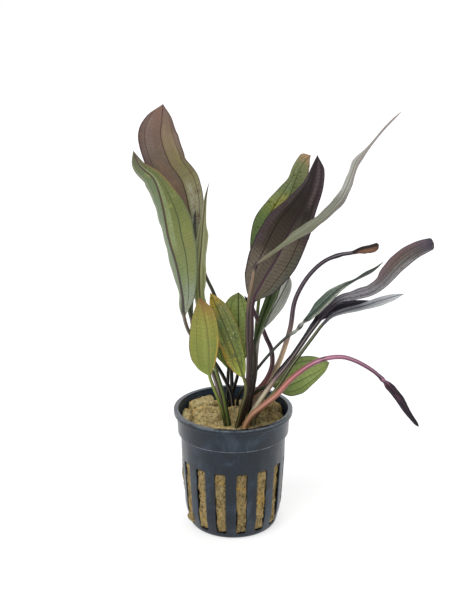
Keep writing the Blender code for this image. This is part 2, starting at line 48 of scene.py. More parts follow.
# The studio: a plain white floor and white surround under three broad, soft lights. The camera
# stands where the photograph was taken from.
CAMERA_PLACE_METRES = (0.00083, -0.430, 0.2386)
CAMERA_NEAR_METRES = 0.01
CAMERA_PITCH_DEG = 16.7
CAMERA_LENS = 60.5
FLOOR_HALF_METRES = 30.0
WHITE = (1.0, 1.0, 1.0, 1.0)
FLOOR_PAPER = {"Base Color": (0.5, 0.5, 0.5, 1.0), "Roughness": 0.9, "Specular IOR Level": 0.1,
               "Emission Color": WHITE, "Emission Strength": 0.56}
AIR_LIGHT = 0.42
SOFT_LIGHTS = (  # name, the way its light travels, strength, apparent width in degrees
    ("key_light", (0.55, 0.62, -0.95), 1.75, 50),
    ("side_light", (-0.85, 0.35, -0.75), 0.85, 60),
    ("back_light", (-0.10, -0.85, -0.80), 0.95, 60))

studio = bpy.context.scene
studio.view_settings.view_transform = "Standard"
world = bpy.data.worlds.new("studio_air")
world.use_nodes = True
air = world.node_tree
either = air.nodes.new("ShaderNodeMixShader")
air.links.new(air.nodes.new("ShaderNodeLightPath").outputs["Is Camera Ray"], either.inputs[0])
seen_white = air.nodes.new("ShaderNodeBackground")
for place, background, brightness in ((1, air.nodes["Background"], AIR_LIGHT), (2, seen_white, 1.0)):
    background.inputs["Color"].default_value = WHITE
    background.inputs["Strength"].default_value = brightness
    air.links.new(background.outputs[0], either.inputs[place])
air.links.new(either.outputs[0], air.nodes["World Output"].inputs["Surface"])
studio.world = world

camera_data = bpy.data.cameras.new("camera")
camera_data.lens = CAMERA_LENS
camera_data.clip_start = CAMERA_NEAR_METRES
camera = bpy.data.objects.new("camera", camera_data)
camera.location = CAMERA_PLACE_METRES
camera.rotation_euler = (math.radians(90 - CAMERA_PITCH_DEG), 0.0, 0.0)
studio.collection.objects.link(camera)
studio.camera = camera

for light_name, travel, strength, width in SOFT_LIGHTS:
    lamp = bpy.data.lights.new(light_name, "SUN")
    lamp.energy = strength
    lamp.angle = math.radians(width)
    light = bpy.data.objects.new(light_name, lamp)
    light.rotation_euler = Vector(travel).to_track_quat("-Z", "Y").to_euler()
    studio.collection.objects.link(light)

floor_mesh = bpy.data.meshes.new("floor")
floor_corners = [(x * FLOOR_HALF_METRES, y * FLOOR_HALF_METRES, 0.0)
                 for x, y in ((-1, -1), (1, -1), (1, 1), (-1, 1))]
floor_mesh.from_pydata(floor_corners, [], [(0, 1, 2, 3)])
floor = bpy.data.objects.new("floor", floor_mesh)
studio.collection.objects.link(floor)
floor_finish = bpy.data.materials.new("floor_paper")
floor_finish.use_nodes = True
for socket_name, value in FLOOR_PAPER.items():
    floor_finish.node_tree.nodes["Principled BSDF"].inputs[socket_name].default_value = value
floor_mesh.materials.append(floor_finish)


# The pot: a net pot moulded in one piece of grey-black plastic, with a rolled rim, a collar over
# a step, and fifteen upright slots in a tapered wall. One pitch of the wall is modelled with its
# slot, repeated round the axis by Geometry Nodes, and its moulded edges are rounded.
SLOT_COUNT = 15
SLOT_TURN_DEG = -80.5
SLOT_HALF_ANGLE_DEG = 6.1
SLOT_TOP = 34.0
SLOT_BOTTOM = 3.0
SLOT_CORNER = 0.9
SLOT_CORNER_TURNS_DEG = (0, 25, 50, 70, 90)  # the rows round a slot's corner
SLOT_ROWS = 20
SLOT_FACE_COLUMNS = 4
WEB_COLUMNS = 5
WALL_RADIUS = 23.0
WALL_FROM_RADIUS = 19.0  # what is nearer to the axis belongs to the base
WALL_HEIGHTS = (1.0, 42.0)  # the stretch of a profile that gives the wall's radius
ARC_POINTS = 5
WELD_METRES = 0.00001
MOULDED_EDGE = 0.22
SHARP_FROM_DEG = 50
# Radius, height and rounding of each corner
POT_OUTSIDE = ((0.0, 0.35, 0), (8.0, 0.35, 0.3), (8.4, 0.0, 0.2), (20.3, 0.0, 2.2), (22.7, 9.0, 20.0),
               (24.1, 34.0, 0), (24.3, 44.9, 0.5), (25.7, 45.8, 0.5), (26.1, 54.4, 0.5),
               (27.5, 54.8, 0.6), (27.45, 57.0, 0.9))
POT_INSIDE = ((25.35, 57.0, 0.8), (24.9, 53.0, 3.0), (24.7, 46.6, 0.6), (23.3, 45.3, 0.6),
              (23.1, 34.0, 0), (22.6, 21.5, 0), (21.7, 9.0, 15.0), (19.8, 1.3, 1.8), (0.0, 1.3, 0))


def colour(code):
    """A linear colour with alpha from a six-figure screen colour."""
    parts = [int(code[i:i + 2], 16) / 255 for i in (1, 3, 5)]
    return tuple(p / 12.92 if p <= 0.04045 else ((p + 0.055) / 1.055) ** 2.4 for p in parts) + (1.0,)


class Wire:
    """A socket's value in a node tree: arithmetic on it adds Math nodes."""

    def __init__(self, graph, socket):
        self.graph = graph
        self.socket = socket

    def __add__(self, other):
        return self.graph.maths("ADD", self, other)

    def __sub__(self, other):
        return self.graph.maths("SUBTRACT", self, other)

    def __rsub__(self, other):
        return self.graph.maths("SUBTRACT", other, self)

    def __mul__(self, other):
        return self.graph.maths("MULTIPLY", self, other)

    def __truediv__(self, other):
        return self.graph.maths("DIVIDE", self, other)

    def __abs__(self):
        return self.graph.maths("ABSOLUTE", self)

    __radd__ = __add__


class Graph:
    """A node tree whose nodes all come from one method."""

    def __init__(self, tree):
        self.tree = tree

    def node(self, kind, settings=(), values=(), output=0):
        """A new node: its settings first, then its sockets' values or wires."""
        made = self.tree.nodes.new(kind)
        for setting, value in dict(settings).items():
            if setting == "stops":
                while len(made.color_ramp.elements) < len(value):
                    made.color_ramp.elements.new(0.5)
                for element, (place, code) in zip(made.color_ramp.elements, value):
                    element.position = place
                    element.color = colour(code)
            else:
                setattr(made, setting, value)
        for key, value in dict(values).items():
            self.feed(made.inputs[key], value)
        return Wire(self, made.outputs[output])

    def feed(self, socket, value):
        if isinstance(value, Wire):
            self.tree.links.new(value.socket, socket)
        else:
            socket.default_value = value

    def maths(self, operation, *values):
        return self.node("ShaderNodeMath", {"operation": operation}, dict(enumerate(values)))

    def close(self, shape, finish):
        """Ends a geometry tree with the shape in its finish."""
        ended = self.node("GeometryNodeSetMaterial", {}, {"Geometry": shape, "Material": finish})
        self.feed(self.tree.nodes.new("NodeGroupOutput").inputs["Geometry"], ended)
        return self.tree


class Paint(Graph):
    """A material with a Principled BSDF, and the patterns that feed it."""

    def __init__(self, name, **constants):
        self.material = bpy.data.materials.new(name)
        self.material.use_nodes = True
        super().__init__(self.material.node_tree)
        self.shader = self.tree.nodes["Principled BSDF"]
        for key, value in constants.items():
            self.shader.inputs[key.replace("_", " ")].default_value = value
        self.place = self.node("ShaderNodeTexCoord", output="Object")

    def finish(self, **wires):
        for key, value in wires.items():
            self.feed(self.shader.inputs[key.replace("_", " ")], value)
        return self.material

    def fact(self, name):
        """A number that the mesh keeps on its points."""
        return self.node("ShaderNodeAttribute", {"attribute_name": name}, output="Fac")

    def millimetres(self, axis):
        return self.node("ShaderNodeSeparateXYZ", {}, {"Vector": self.place}, axis) * 1000.0

    def stretch(self, x, y, z):
        """The object's coordinates in metres, multiplied along each axis."""
        return self.node("ShaderNodeVectorMath", {"operation": "MULTIPLY"},
                         {0: self.place, 1: (x, y, z)})

    def grain(self, vector, scale, detail, rough=0.55, warp=0.0):
        """Noise from 0 to 1."""
        return self.node("ShaderNodeTexNoise", {"noise_dimensions": "3D"}, {
            "Vector": vector, "Scale": scale, "Detail": detail, "Roughness": rough,
            "Distortion": warp})

    def step(self, value, low, high):
        """A smooth rise from 0 to 1 as the value goes from low to high."""
        return self.node("ShaderNodeMapRange", {"interpolation_type": "SMOOTHSTEP"},
                         {"Value": value, "From Min": low, "From Max": high})

    def blend(self, share, first, second):
        """The first colour where the share is 0 and the second where it is 1."""
        first, second = (colour(c) if isinstance(c, str) else c for c in (first, second))
        return self.node("ShaderNodeMix", {"data_type": "RGBA"}, {0: share, 6: first, 7: second}, 2)

    def shade(self, tint, amount):
        """A colour made lighter or darker by a factor that varies."""
        return self.node("ShaderNodeVectorMath", {"operation": "SCALE"},
                         {0: tint, "Scale": amount})

    def ramp(self, value, stops):
        return self.node("ShaderNodeValToRGB", {"stops": stops}, {"Fac": value})

    def along(self, value, look):
        """One colour, or the colours of a ramp along the value."""
        return look if isinstance(look, str) else self.ramp(value, look)

    def bump(self, height, strength, distance):
        """A normal from a height pattern; the distance is in metres."""
        return self.node("ShaderNodeBump", {}, {
            "Height": height, "Strength": strength, "Distance": distance})


def mesh_piece(name, points, faces):
    """A smooth object from points in millimetres and faces that already point outwards."""
    mesh = bpy.data.meshes.new(name)
    mesh.from_pydata([tuple(p) for p in np.asarray(points, float) * MM], [], faces)
    mesh.shade_smooth()
    piece = bpy.data.objects.new(name, mesh)
    studio.collection.objects.link(piece)
    return piece


def grown(piece, tree, **inputs):
    """Replaces a piece's mesh by what a geometry tree makes of it."""
    modifier = piece.modifiers.new(tree.name, "NODES")
    modifier.node_group = tree
    for item in tree.interface.items_tree:
        if item.name in inputs:
            modifier[item.identifier] = inputs[item.name]
    made = bpy.data.meshes.new_from_object(piece.evaluated_get(bpy.context.evaluated_depsgraph_get()))
    piece.modifiers.remove(modifier)
    piece.data = made


def hand_over(piece, node=None):
    """The piece rides with the part and, given a CAD node, stands for it: the node is hidden."""
    if node:
        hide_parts(node)
    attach(piece, "root")


def rounded(corners):
    """A profile of (radius, height) with an arc at each corner that has a rounding."""
    path = []
    for i, (r, z, rounding) in enumerate(corners):
        if rounding == 0 or i in (0, len(corners) - 1):
            path.append((r, z))
            continue
        here = Vector((r, z))
        to_last = Vector(corners[i - 1][:2]) - here
        to_next = Vector(corners[i + 1][:2]) - here
        half = to_last.angle(to_next) / 2
        cut = min(rounding / math.tan(half), to_last.length * 0.45, to_next.length * 0.45)
        first = here + to_last.normalized() * cut
        last = here + to_next.normalized() * cut
        for k in range(ARC_POINTS + 1):
            t = k / ARC_POINTS
            path.append(tuple(first * (1 - t) ** 2 + here * 2 * t * (1 - t) + last * t ** 2))
    return path


def slot_heights():
    """The heights of the rows that the slot needs: close at its corners, even between."""
    turns = [math.radians(a) for a in SLOT_CORNER_TURNS_DEG]
    low = [SLOT_BOTTOM + SLOT_CORNER * (1 - math.cos(t)) for t in turns]
    high = [SLOT_TOP - SLOT_CORNER * (1 - math.cos(t)) for t in reversed(turns)]
    return low + list(np.linspace(low[-1], high[0], SLOT_ROWS)[1:-1]) + high


def at_slot(radius, height):
    """Whether a point of the profile is in the wall, between the slot's ends."""
    return radius > WALL_FROM_RADIUS and SLOT_BOTTOM <= height <= SLOT_TOP


def with_rows(profile, heights):
    """The wall's profile with its points between the slot's ends put at the given heights."""
    foot, head = WALL_HEIGHTS
    wall = [p for p in profile if foot < p[1] < head and p[0] > WALL_FROM_RADIUS]
    wall.sort(key=lambda p: p[1])
    radii, wall_heights = zip(*wall)
    rows = [(float(np.interp(z, wall_heights, radii)), z) for z in heights]
    start = next(i for i, p in enumerate(profile) if at_slot(*p))
    kept = [p for p in profile if not at_slot(*p)]
    if profile[start][1] > profile[start + 1][1]:
        rows.reverse()
    return kept[:start] + rows + kept[start:]


def pot_pitch():
    """One pitch of the pot, from the middle of one web to the middle of the next."""
    heights = slot_heights()
    outside = with_rows(rounded(POT_OUTSIDE), heights)
    inside = with_rows(rounded(POT_INSIDE), heights)
    rows = outside + inside
    half_pitch = math.pi / SLOT_COUNT
    half_slot = math.radians(SLOT_HALF_ANGLE_DEG)
    corner = SLOT_CORNER / WALL_RADIUS
    turn = math.radians(SLOT_TURN_DEG)
    points = []
    for r, z in rows:
        edge = half_slot - corner
        if at_slot(r, z):
            into = min(z - SLOT_BOTTOM, SLOT_TOP - z, SLOT_CORNER) / SLOT_CORNER
            edge = half_slot - corner + corner * math.sqrt(max(0.0, 1 - (1 - into) ** 2))
        web = [edge + (half_pitch - edge) * k / WEB_COLUMNS for k in range(WEB_COLUMNS + 1)]
        face = [(half_slot - corner) * k / SLOT_FACE_COLUMNS for k in range(1 - SLOT_FACE_COLUMNS,
                                                                          SLOT_FACE_COLUMNS)]
        for angle in [-a for a in reversed(web)] + face + web:
            points.append((r * math.cos(turn + angle), r * math.sin(turn + angle), z))
    columns = len(points) // len(rows)
    left, right = WEB_COLUMNS, columns - WEB_COLUMNS - 1
    faces = []
    for low in range(len(rows) - 1):
        in_slot = at_slot(*rows[low]) and at_slot(*rows[low + 1])
        for k in range(columns - 1):
            if in_slot and left <= k < right:
                continue
            a, b = low * columns + k, (low + 1) * columns + k
            faces.append((a, a + 1, b + 1, b))
    first_out, last_in = (
        next(i for i, (r, z) in enumerate(side) if z == heights[0] and r > WALL_FROM_RADIUS)
        for side in (outside, inside))
    last_in += len(outside)
    for k in range(len(heights) - 1):
        out_a, out_b = (first_out + k) * columns, (first_out + k + 1) * columns
        in_a, in_b = (last_in - k) * columns, (last_in - k - 1) * columns
        faces.append((out_a + left, out_b + left, in_b + left, in_a + left))
        faces.append((out_b + right, out_a + right, in_a + right, in_b + right))
    for k in range(left, right):
        out_row, in_row = first_out * columns, last_in * columns
        faces.append((out_row + k + 1, out_row + k, in_row + k, in_row + k + 1))
        out_row, in_row = out_row + (len(heights) - 1) * columns, in_row - (len(heights) - 1) * columns
        faces.append((out_row + k, out_row + k + 1, in_row + k + 1, in_row + k))
    return mesh_piece("net_pot", points, faces)


def geometry_tree(name, **inputs):
    """A geometry tree with the named inputs, and the wire of each input."""
    tree = bpy.data.node_groups.new(name, "GeometryNodeTree")
    tree.interface.new_socket("Geometry", in_out="OUTPUT", socket_type="NodeSocketGeometry")
    for key, kind in inputs.items():
        tree.interface.new_socket(key, in_out="INPUT", socket_type="NodeSocket" + kind)
    graph = Graph(tree)
    given = tree.nodes.new("NodeGroupInput").outputs
    return graph, [Wire(graph, given[key]) for key in inputs]


def ring_tree():
    """A geometry tree that repeats a piece round the Z axis and welds the copies."""
    graph, (pitch, count, finish) = geometry_tree(
        "pitches_round_the_axis", Pitch="Geometry", Count="Int", Finish="Material")
    turn = graph.node("GeometryNodeInputIndex") / count * (2 * math.pi)
    turned = graph.node("ShaderNodeCombineXYZ", {}, {"Z": turn})
    spots = graph.node("GeometryNodePoints", {}, {"Count": count})
    copies = graph.node("GeometryNodeInstanceOnPoints", {}, {
        "Points": spots, "Instance": pitch, "Rotation": turned})
    real = graph.node("GeometryNodeRealizeInstances", {}, {"Geometry": copies})
    welded = graph.node("GeometryNodeMergeByDistance", {}, {"Geometry": real, "Distance": WELD_METRES})
    return graph.close(welded, finish)


def pot_finish():
    """Grey-black moulded plastic with a soft shine, cloudy wipe marks and a chalky bloom, with a painted
    lighter inner wall, a painted darker rim top, and painted highlights on the rim's outer edge and the
    collar's step.
    """
    paint = Paint("pot_plastic", Specular_IOR_Level=0.45, Specular_Tint=(0.8, 0.9, 1.0, 1.0))
    height_mm = paint.millimetres("Z")
    clouds = paint.grain(paint.place, 85.0, 5.0, 0.62, 0.8)
    radius_mm = paint.node("ShaderNodeVectorMath", {"operation": "LENGTH"},
                           {0: paint.stretch(1000.0, 1000.0, 0.0)}, "Value")
    runs = paint.grain(paint.stretch(260.0, 260.0, 120.0), 1.0, 4.0, 0.62, 0.9)
    fine = paint.grain(paint.place, 2300.0, 2.0)
    chalk = paint.step(clouds * 0.6 + runs * 0.4, 0.5, 0.68)
    tint = paint.blend(paint.step(clouds, 0.36, 0.62), "#080e16", "#141d29")
    tint = paint.blend(chalk * 0.2, tint, "#5f6d7d")
    tint = paint.blend(paint.step(fine, 0.62, 0.74) * 0.15, tint, "#75828f")
    # painted light: the inner wall above the collar is made lighter against its shade
    lining_painted_light = paint.step(height_mm, 46.0, 47.0) * (1 - paint.step(radius_mm, 25.3, 25.7))
    tint = paint.blend(lining_painted_light * 0.8, tint, "#2c3a4a")
    # painted shade: the rim's top is made darker
    lip_painted_shade = paint.step(height_mm, 55.9, 56.6)
    tint = paint.blend(lip_painted_shade * 0.6, tint, "#0a1119")
    # painted highlight: a broken light line round the rim's outer edge
    rim_highlight = paint.step(radius_mm, 26.9, 27.2) * paint.step(height_mm, 56.2, 56.5)
    tint = paint.blend(rim_highlight * paint.step(runs, 0.3, 0.6) * 0.3, tint, "#8d97a0")
    # painted highlight: a broken light line along the collar's step
    step_highlight = 1 - paint.step(abs(height_mm - 45.7), 0.15, 0.5)
    tint = paint.blend(step_highlight * paint.step(runs, 0.35, 0.6) * 0.5, tint, "#8d969d")
    rough = 0.25 + chalk * 0.2 + paint.step(fine, 0.3, 0.7) * 0.07 - lip_painted_shade * 0.06
    height = paint.step(fine, 0.2, 0.8) * 0.35 + clouds * 1.2 + runs * 0.3
    return paint.finish(Base_Color=tint, Roughness=rough,
                        Normal=paint.bump(height, 0.4, 0.00012))


net_pot = pot_pitch()
grown(net_pot, ring_tree(), Count=SLOT_COUNT, Finish=pot_finish())
trued = bmesh.new()
trued.from_mesh(net_pot.data)
bmesh.ops.remove_doubles(trued, verts=trued.verts, dist=WELD_METRES)
bmesh.ops.recalc_face_normals(trued, faces=trued.faces)
trued.to_mesh(net_pot.data)
trued.free()
net_pot.data.shade_smooth()
edges = net_pot.modifiers.new("moulded_edges", "BEVEL")
edges.width = MOULDED_EDGE * MM
edges.segments = 2
edges.limit_method = "ANGLE"
edges.angle_limit = math.radians(SHARP_FROM_DEG)
hand_over(net_pot, "pot")


# The wool: a plug of mineral wool that fills the pot, torn and pressed together by hand, so its
# top is a heap of clods and it bulges into the slots. It closes round the stalks, and short loose
# fibres lie all over it.
WOOL_TOP = 51.3
WOOL_EDGE_HEIGHT = 49.0
WOOL_EDGE_RADIUS = 24.2
WOOL_COLUMNS = 400
WOOL_SIDE_ROWS = 128
WOOL_TOP_RINGS = 56
WOOL_ROLL = 1.4  # how far in from its edge the top bends over
WOOL_CLEARANCE = 0.5  # behind the webs
PRESSED_INTO_SLOT = 1.2
GAP_DEPTH = 2.6
SLOT_EDGE_DEG = (5.9, 7.0)  # between these the wool goes back behind the web
# Height and radius
WOOL_SIDE = ((1.8, 17.6), (2.6, 19.0), (3.8, 20.2), (9.2, 21.4), (21.5, 22.3), (34.0, 22.8),
             (45.2, 23.0), (47.2, 24.2), (WOOL_EDGE_HEIGHT, WOOL_EDGE_RADIUS))
WOOL_CLODS = (  # middle x and y, half sizes, turn in degrees, extra height, softness of the edge
    (-15.0, 14.0, 6.6, 5.2, -14, 3.9, 0.07), (-12.0, 2.4, 5.8, 6.2, 10, 3.1, 0.1),
    (-22.4, 0.6, 3.3, 6.0, 14, 2.6, 0.1), (-18.6, -4.6, 1.3, 1.5, 20, -2.6, 0.4),
    (-17.5, -11.0, 4.5, 3.4, -40, 1.2, 0.2), (0.6, 5.4, 4.2, 2.4, -4, 2.6, 0.15),
    (18.2, 10.5, 4.2, 6.2, 24, 3.7, 0.1), (19.5, 0.5, 3.0, 4.2, -10, 1.6, 0.25),
    (13.5, 2.0, 3.6, 3.6, -30, 1.1, 0.3), (-7.5, -15.5, 7.0, 3.4, 24, 1.0, 0.25),
    (6.0, -16.5, 6.5, 3.4, -12, 0.5, 0.4), (16.5, -9.5, 4.6, 4.4, 40, 0.9, 0.3),
    (2.0, 15.5, 8.5, 6.2, 0, -4.2, 0.4), (9.0, -5.0, 3.2, 3.0, 0, -1.2, 0.5))
WOOL_TUFT_SIZE = 6.0
WOOL_SEED = 4  # of the noise that bends the clods' outlines
WOOL_SWIRL = (-10.7, 1.2)  # x and y of the middle of a knot of wool that is wound in fine rings
SLOT_GAPS = {  # slot number: side, lowest and highest place, width in degrees
    0: (-1, 6.0, 16.5, 1.9), 1: (1, 4.0, 24.0, 1.1), 2: (1, 6.0, 35.0, 4.6), 3: (1, 9.0, 35.0, 4.2),
    5: (-1, 20.0, 35.0, 2.0), 7: (1, 4.0, 16.0, 2.2), 9: (-1, 12.0, 26.0, 1.6),
    11: (1, 15.0, 35.0, 1.2), 12: (-1, 24.0, 35.0, 1.8), 13: (-1, 13.0, 35.0, 2.2),
    14: (-1, 3.0, 15.0, 1.0)}
# Slot number: the height and half height of an ochre fold, and how dark the slot's wool is
SLOT_FOLDS = {0: (27.0, 0.7), 1: (19.0, 4.0), 13: (22.0, 0.6), 14: (29.8, 1.2)}
SLOT_SHADE = {0: 0.3, 1: 0.08, 2: 0.1, 14: 0.2}
SLOT_TUFTS = {  # slot number: height, how far it stands out, half height
    12: (5.6, 2.3, 2.6), 11: (24.0, 0.8, 9.0), 2: (6.5, 0.9, 1.6), 6: (20.0, 0.8, 5.0),
    9: (30.0, 0.7, 3.0), 14: (29.5, 0.5, 1.2)}
FIBRE_BEND = (  # a fibre's ends and handles, as shares of its length
    ("Start", -0.5, 0.0, -0.06), ("Start Handle", -0.2, 0.16, 0.12), ("End Handle", 0.2, -0.14, 0.02),
    ("End", 0.5, 0.0, 0.1))
FIBRE_STEPS = 3
FIBRE_SIDES = 3
FIBRE_TILT = 0.22
FIBRE_SIZES = (0.45, 1.35)
FIBRES_FROM_HEIGHT = 2.5


def soft_step(value, low, high):
    """A smooth rise from 0 to 1 as a number goes from low to high."""
    t = min(1.0, max(0.0, (value - low) / (high - low)))
    return t * t * (3 - 2 * t)


def wool_top(x, y):
    """The wool's top at a place: its height, how much painted shade its crease, crack or pit takes, and how
    much ochre and painted highlight its fold ridge takes.
    """
    spot = Vector((x, y, 0.0))
    pull = noise.noise_vector(spot * 0.22) * 2.0 + noise.noise_vector(spot * 0.7) * 0.7
    height = WOOL_TOP
    crease = 0.0
    for middle_x, middle_y, half_x, half_y, turn, extra, soft in WOOL_CLODS:
        cosine, sine = math.cos(math.radians(turn)), math.sin(math.radians(turn))
        dx, dy = x + pull.x - middle_x, y + pull.y - middle_y
        u, v = (dx * cosine + dy * sine) / half_x, (dy * cosine - dx * sine) / half_y
        away = (abs(u) ** 3 + abs(v) ** 3) ** (1 / 3)
        height += extra * (1 - soft_step(away, 1 - soft, 1 + soft))
        # painted shade: a dark line at the foot of each raised clod, and darkness over each sunken one
        crease = max(crease, 0.6 * math.exp(-((away - 1 - soft) / 0.05) ** 2) if extra > 0 else
                     1 - soft_step(away, 0.6, 1.1))
    apart, middles = noise.voronoi((spot + pull * 0.9) / WOOL_TUFT_SIZE)
    cracks = 1 - soft_step(apart[1] - apart[0], 0.02, 0.3)
    own = noise.cell(middles[0] * 9.0)
    folds = abs(noise.noise(spot * 0.42 + Vector((3, 9, 4)) + pull * 0.25))
    tufts = noise.fractal(spot * 1.1 + Vector((7, 3, 1)), 0.75, 2.1, 4)
    pits = max(0.0, noise.noise(spot * 0.75 + Vector((11, 5, 2))) - 0.3)
    swirl_x, swirl_y = WOOL_SWIRL
    from_swirl = math.hypot(x - swirl_x, (y - swirl_y) * 0.8) + 0.5 * pull.x
    rings = math.sin(from_swirl * 4.4) * (1 - soft_step(from_swirl, 2.8, 4.6))
    crumbs = noise.fractal(spot * 2.3 + Vector((1, 8, 3)), 0.8, 2.0, 3)
    crumbly = soft_step(x, 5, 11) * (1 - soft_step(y, 2, 7))
    # painted shade in cracks, pits and the grooves of the rings, and a darker speckled patch towards +X and
    # -Y
    crease = max(crease, 0.15 * cracks, 1.2 * pits, 0.8 * max(0.0, -rings),
                 (0.45 + 0.2 * crumbly) * soft_step(crumbs, 0.15, 0.5) + 0.3 * crumbly)
    # ochre, with a painted highlight, along the crests of the fold ridges
    ochre = (1 - soft_step(folds, 0.02, 0.1)) * soft_step(own, -0.4, 0.3)
    height += 0.3 * own - 0.2 * cracks + 0.8 * (0.22 - folds) + 0.4 * tufts - 2.5 * pits + 0.2 * rings
    return height, crease, ochre


def slot_share(angle, height):
    """A place on the plug's side: how far it is pressed into a slot, how deep a gap it shows,
    how far it stands out, how ochre a fold it is in and how dark the slot's wool is."""
    pitch = 360.0 / SLOT_COUNT
    turned = (math.degrees(angle) - SLOT_TURN_DEG + pitch / 2) % 360.0
    number = int(turned // pitch)
    off = turned % pitch - pitch / 2
    ragged = 0.7 * noise.noise(Vector((number * 5.0, height * 0.3, 0.0)))
    inside = 1 - soft_step(abs(off), *SLOT_EDGE_DEG)
    inside *= soft_step(height, SLOT_BOTTOM - 0.3, SLOT_BOTTOM + 0.9)
    inside *= 1 - soft_step(height, SLOT_TOP - 0.9, SLOT_TOP + 0.2)
    gap = 0.0
    if number in SLOT_GAPS:
        side, low, high, width = SLOT_GAPS[number]
        ends = soft_step(height, low, low + 2.5) * (1 - soft_step(height, high - 1.5, high))
        from_edge = SLOT_HALF_ANGLE_DEG + 0.4 - off * side
        reach = width * (0.75 + ragged)
        gap = ends * (1 - soft_step(from_edge, reach - 0.3, reach + 0.5))
    stand = 0.0
    if number in SLOT_TUFTS:
        middle, out, half = SLOT_TUFTS[number]
        stand = out * math.exp(-((height - middle) / half) ** 2) * (1 - soft_step(abs(off), 2.0, 6.0))
    fold, fold_half = SLOT_FOLDS.get(number, (0.0, 0.1))
    slant = height - fold + 0.15 * off + 1.2 * noise.noise(Vector((number * 3.0, height * 0.4, off * 0.2)))
    ochre = 0.6 * math.exp(-(slant / fold_half) ** 2)
    return inside, gap, stand, ochre, SLOT_SHADE.get(number, 0.0)


def tube_faces(rings, count, anticlockwise):
    """Faces of a tube of rings of points that ends in one more point. The rings run anticlockwise
    or clockwise, seen from that end, and the first one is closed by a face."""
    k = np.arange(count)
    after = (k + 1) % count
    first, second = (k, after) if anticlockwise else (after, k)
    faces = []
    for low in range(0, (rings - 1) * count, count):
        high = low + count
        faces += zip(low + first, low + second, high + second, high + first)
    last = (rings - 1) * count
    faces += zip(last + first, last + second, np.full(count, rings * count))
    faces.append(k[::-1] if anticlockwise else k)
    return [tuple(int(i) for i in face) for face in faces]


def wool_plug():
    """The plug's side and top in one grid of rings, with each point's painted shade and its ochre and
    painted ridge highlight.
    """
    heights, radii = zip(*WOOL_SIDE)
    turns = np.linspace(0, 2 * math.pi, WOOL_COLUMNS, endpoint=False)
    points = []
    marks = []
    for z in np.linspace(heights[0], heights[-1], WOOL_SIDE_ROWS):
        radius = float(np.interp(z, heights, radii))
        for a in turns:
            inside, gap, stand, ochre, dim = slot_share(a, z)
            spot = Vector((radius * math.cos(a), radius * math.sin(a), z * 0.22))
            rough = noise.fractal(spot * 0.6, 0.8, 2.0, 4)
            crack = soft_step(abs(noise.noise(spot * 0.36 + Vector((4, 8, 2)))), 0.0, 0.04)
            broken = 1 - soft_step(noise.noise(Vector((a * 9, z * 0.16, 3))), 0.0, 0.3)
            pressed = PRESSED_INTO_SLOT + 0.3 * rough - 0.8 * (1 - crack) * broken
            out = radius - WOOL_CLEARANCE + inside * pressed + 0.15 * rough - gap * GAP_DEPTH + stand
            points.append((out * math.cos(a), out * math.sin(a), z))
            # painted shade in the slots' gaps and cracks, with each slot's listed darkness
            marks.append((max(dim, 0.7 * (1 - crack) * broken, gap), ochre))
    for ring in range(1, WOOL_TOP_RINGS):
        radius = WOOL_EDGE_RADIUS * (1 - ring / WOOL_TOP_RINGS)
        margin = min(1.0, (WOOL_EDGE_RADIUS - radius) / WOOL_ROLL)
        roll = math.sqrt(margin * (2 - margin))
        for a in turns:
            x, y = radius * math.cos(a), radius * math.sin(a)
            height, crease, ochre = wool_top(x, y)
            points.append((x, y, WOOL_EDGE_HEIGHT + (height - WOOL_EDGE_HEIGHT) * roll))
            marks.append((crease, ochre))
    rings = len(points) // WOOL_COLUMNS
    height, crease, ochre = wool_top(0.0, 0.0)
    points.append((0.0, 0.0, height))
    marks.append((crease, ochre))
    return (mesh_piece("wool", points, tube_faces(rings, WOOL_COLUMNS, True)), *zip(*marks))


def fibre_tree():
    """A geometry tree that lays short bent fibres over a surface, each turned its own way."""
    graph, (surface, density, length, thickness, seed, finish) = geometry_tree(
        "loose_fibres", Surface="Geometry", Fibres_per_square_metre="Float", Length="Float",
        Thickness="Float", Seed="Int", Finish="Material")
    scatter = graph.node("GeometryNodeDistributePointsOnFaces", {}, {
        "Mesh": surface, "Density": density, "Seed": seed})
    facing = Wire(graph, scatter.socket.node.outputs["Rotation"])
    bends = {}
    for point, x, y, z in FIBRE_BEND:
        bends[point] = graph.node("ShaderNodeCombineXYZ", {}, {
            "X": length * x, "Y": length * y, "Z": length * z})
    spine = graph.node("GeometryNodeCurvePrimitiveBezierSegment", {}, {
        "Resolution": FIBRE_STEPS, **bends})
    around = graph.node("GeometryNodeCurvePrimitiveCircle", {}, {
        "Resolution": FIBRE_SIDES, "Radius": thickness * 0.5})
    fibre = graph.node("GeometryNodeCurveToMesh", {}, {"Curve": spine, "Profile Curve": around})
    size = graph.node("FunctionNodeRandomValue", {"data_type": "FLOAT"}, {
        2: FIBRE_SIZES[0], 3: FIBRE_SIZES[1], "Seed": seed}, 1)
    laid = graph.node("GeometryNodeInstanceOnPoints", {}, {
        "Points": scatter, "Instance": fibre, "Rotation": facing, "Scale": size})
    turn = graph.node("FunctionNodeRandomValue", {"data_type": "FLOAT_VECTOR"}, {
        0: (-FIBRE_TILT, -FIBRE_TILT, 0.0), 1: (FIBRE_TILT, FIBRE_TILT, 2 * math.pi), "Seed": seed})
    turned = graph.node("GeometryNodeRotateInstances", {}, {
        "Instances": laid, "Rotation": turn, "Local Space": True})
    return graph.close(graph.node("GeometryNodeRealizeInstances", {}, {"Geometry": turned}), finish)


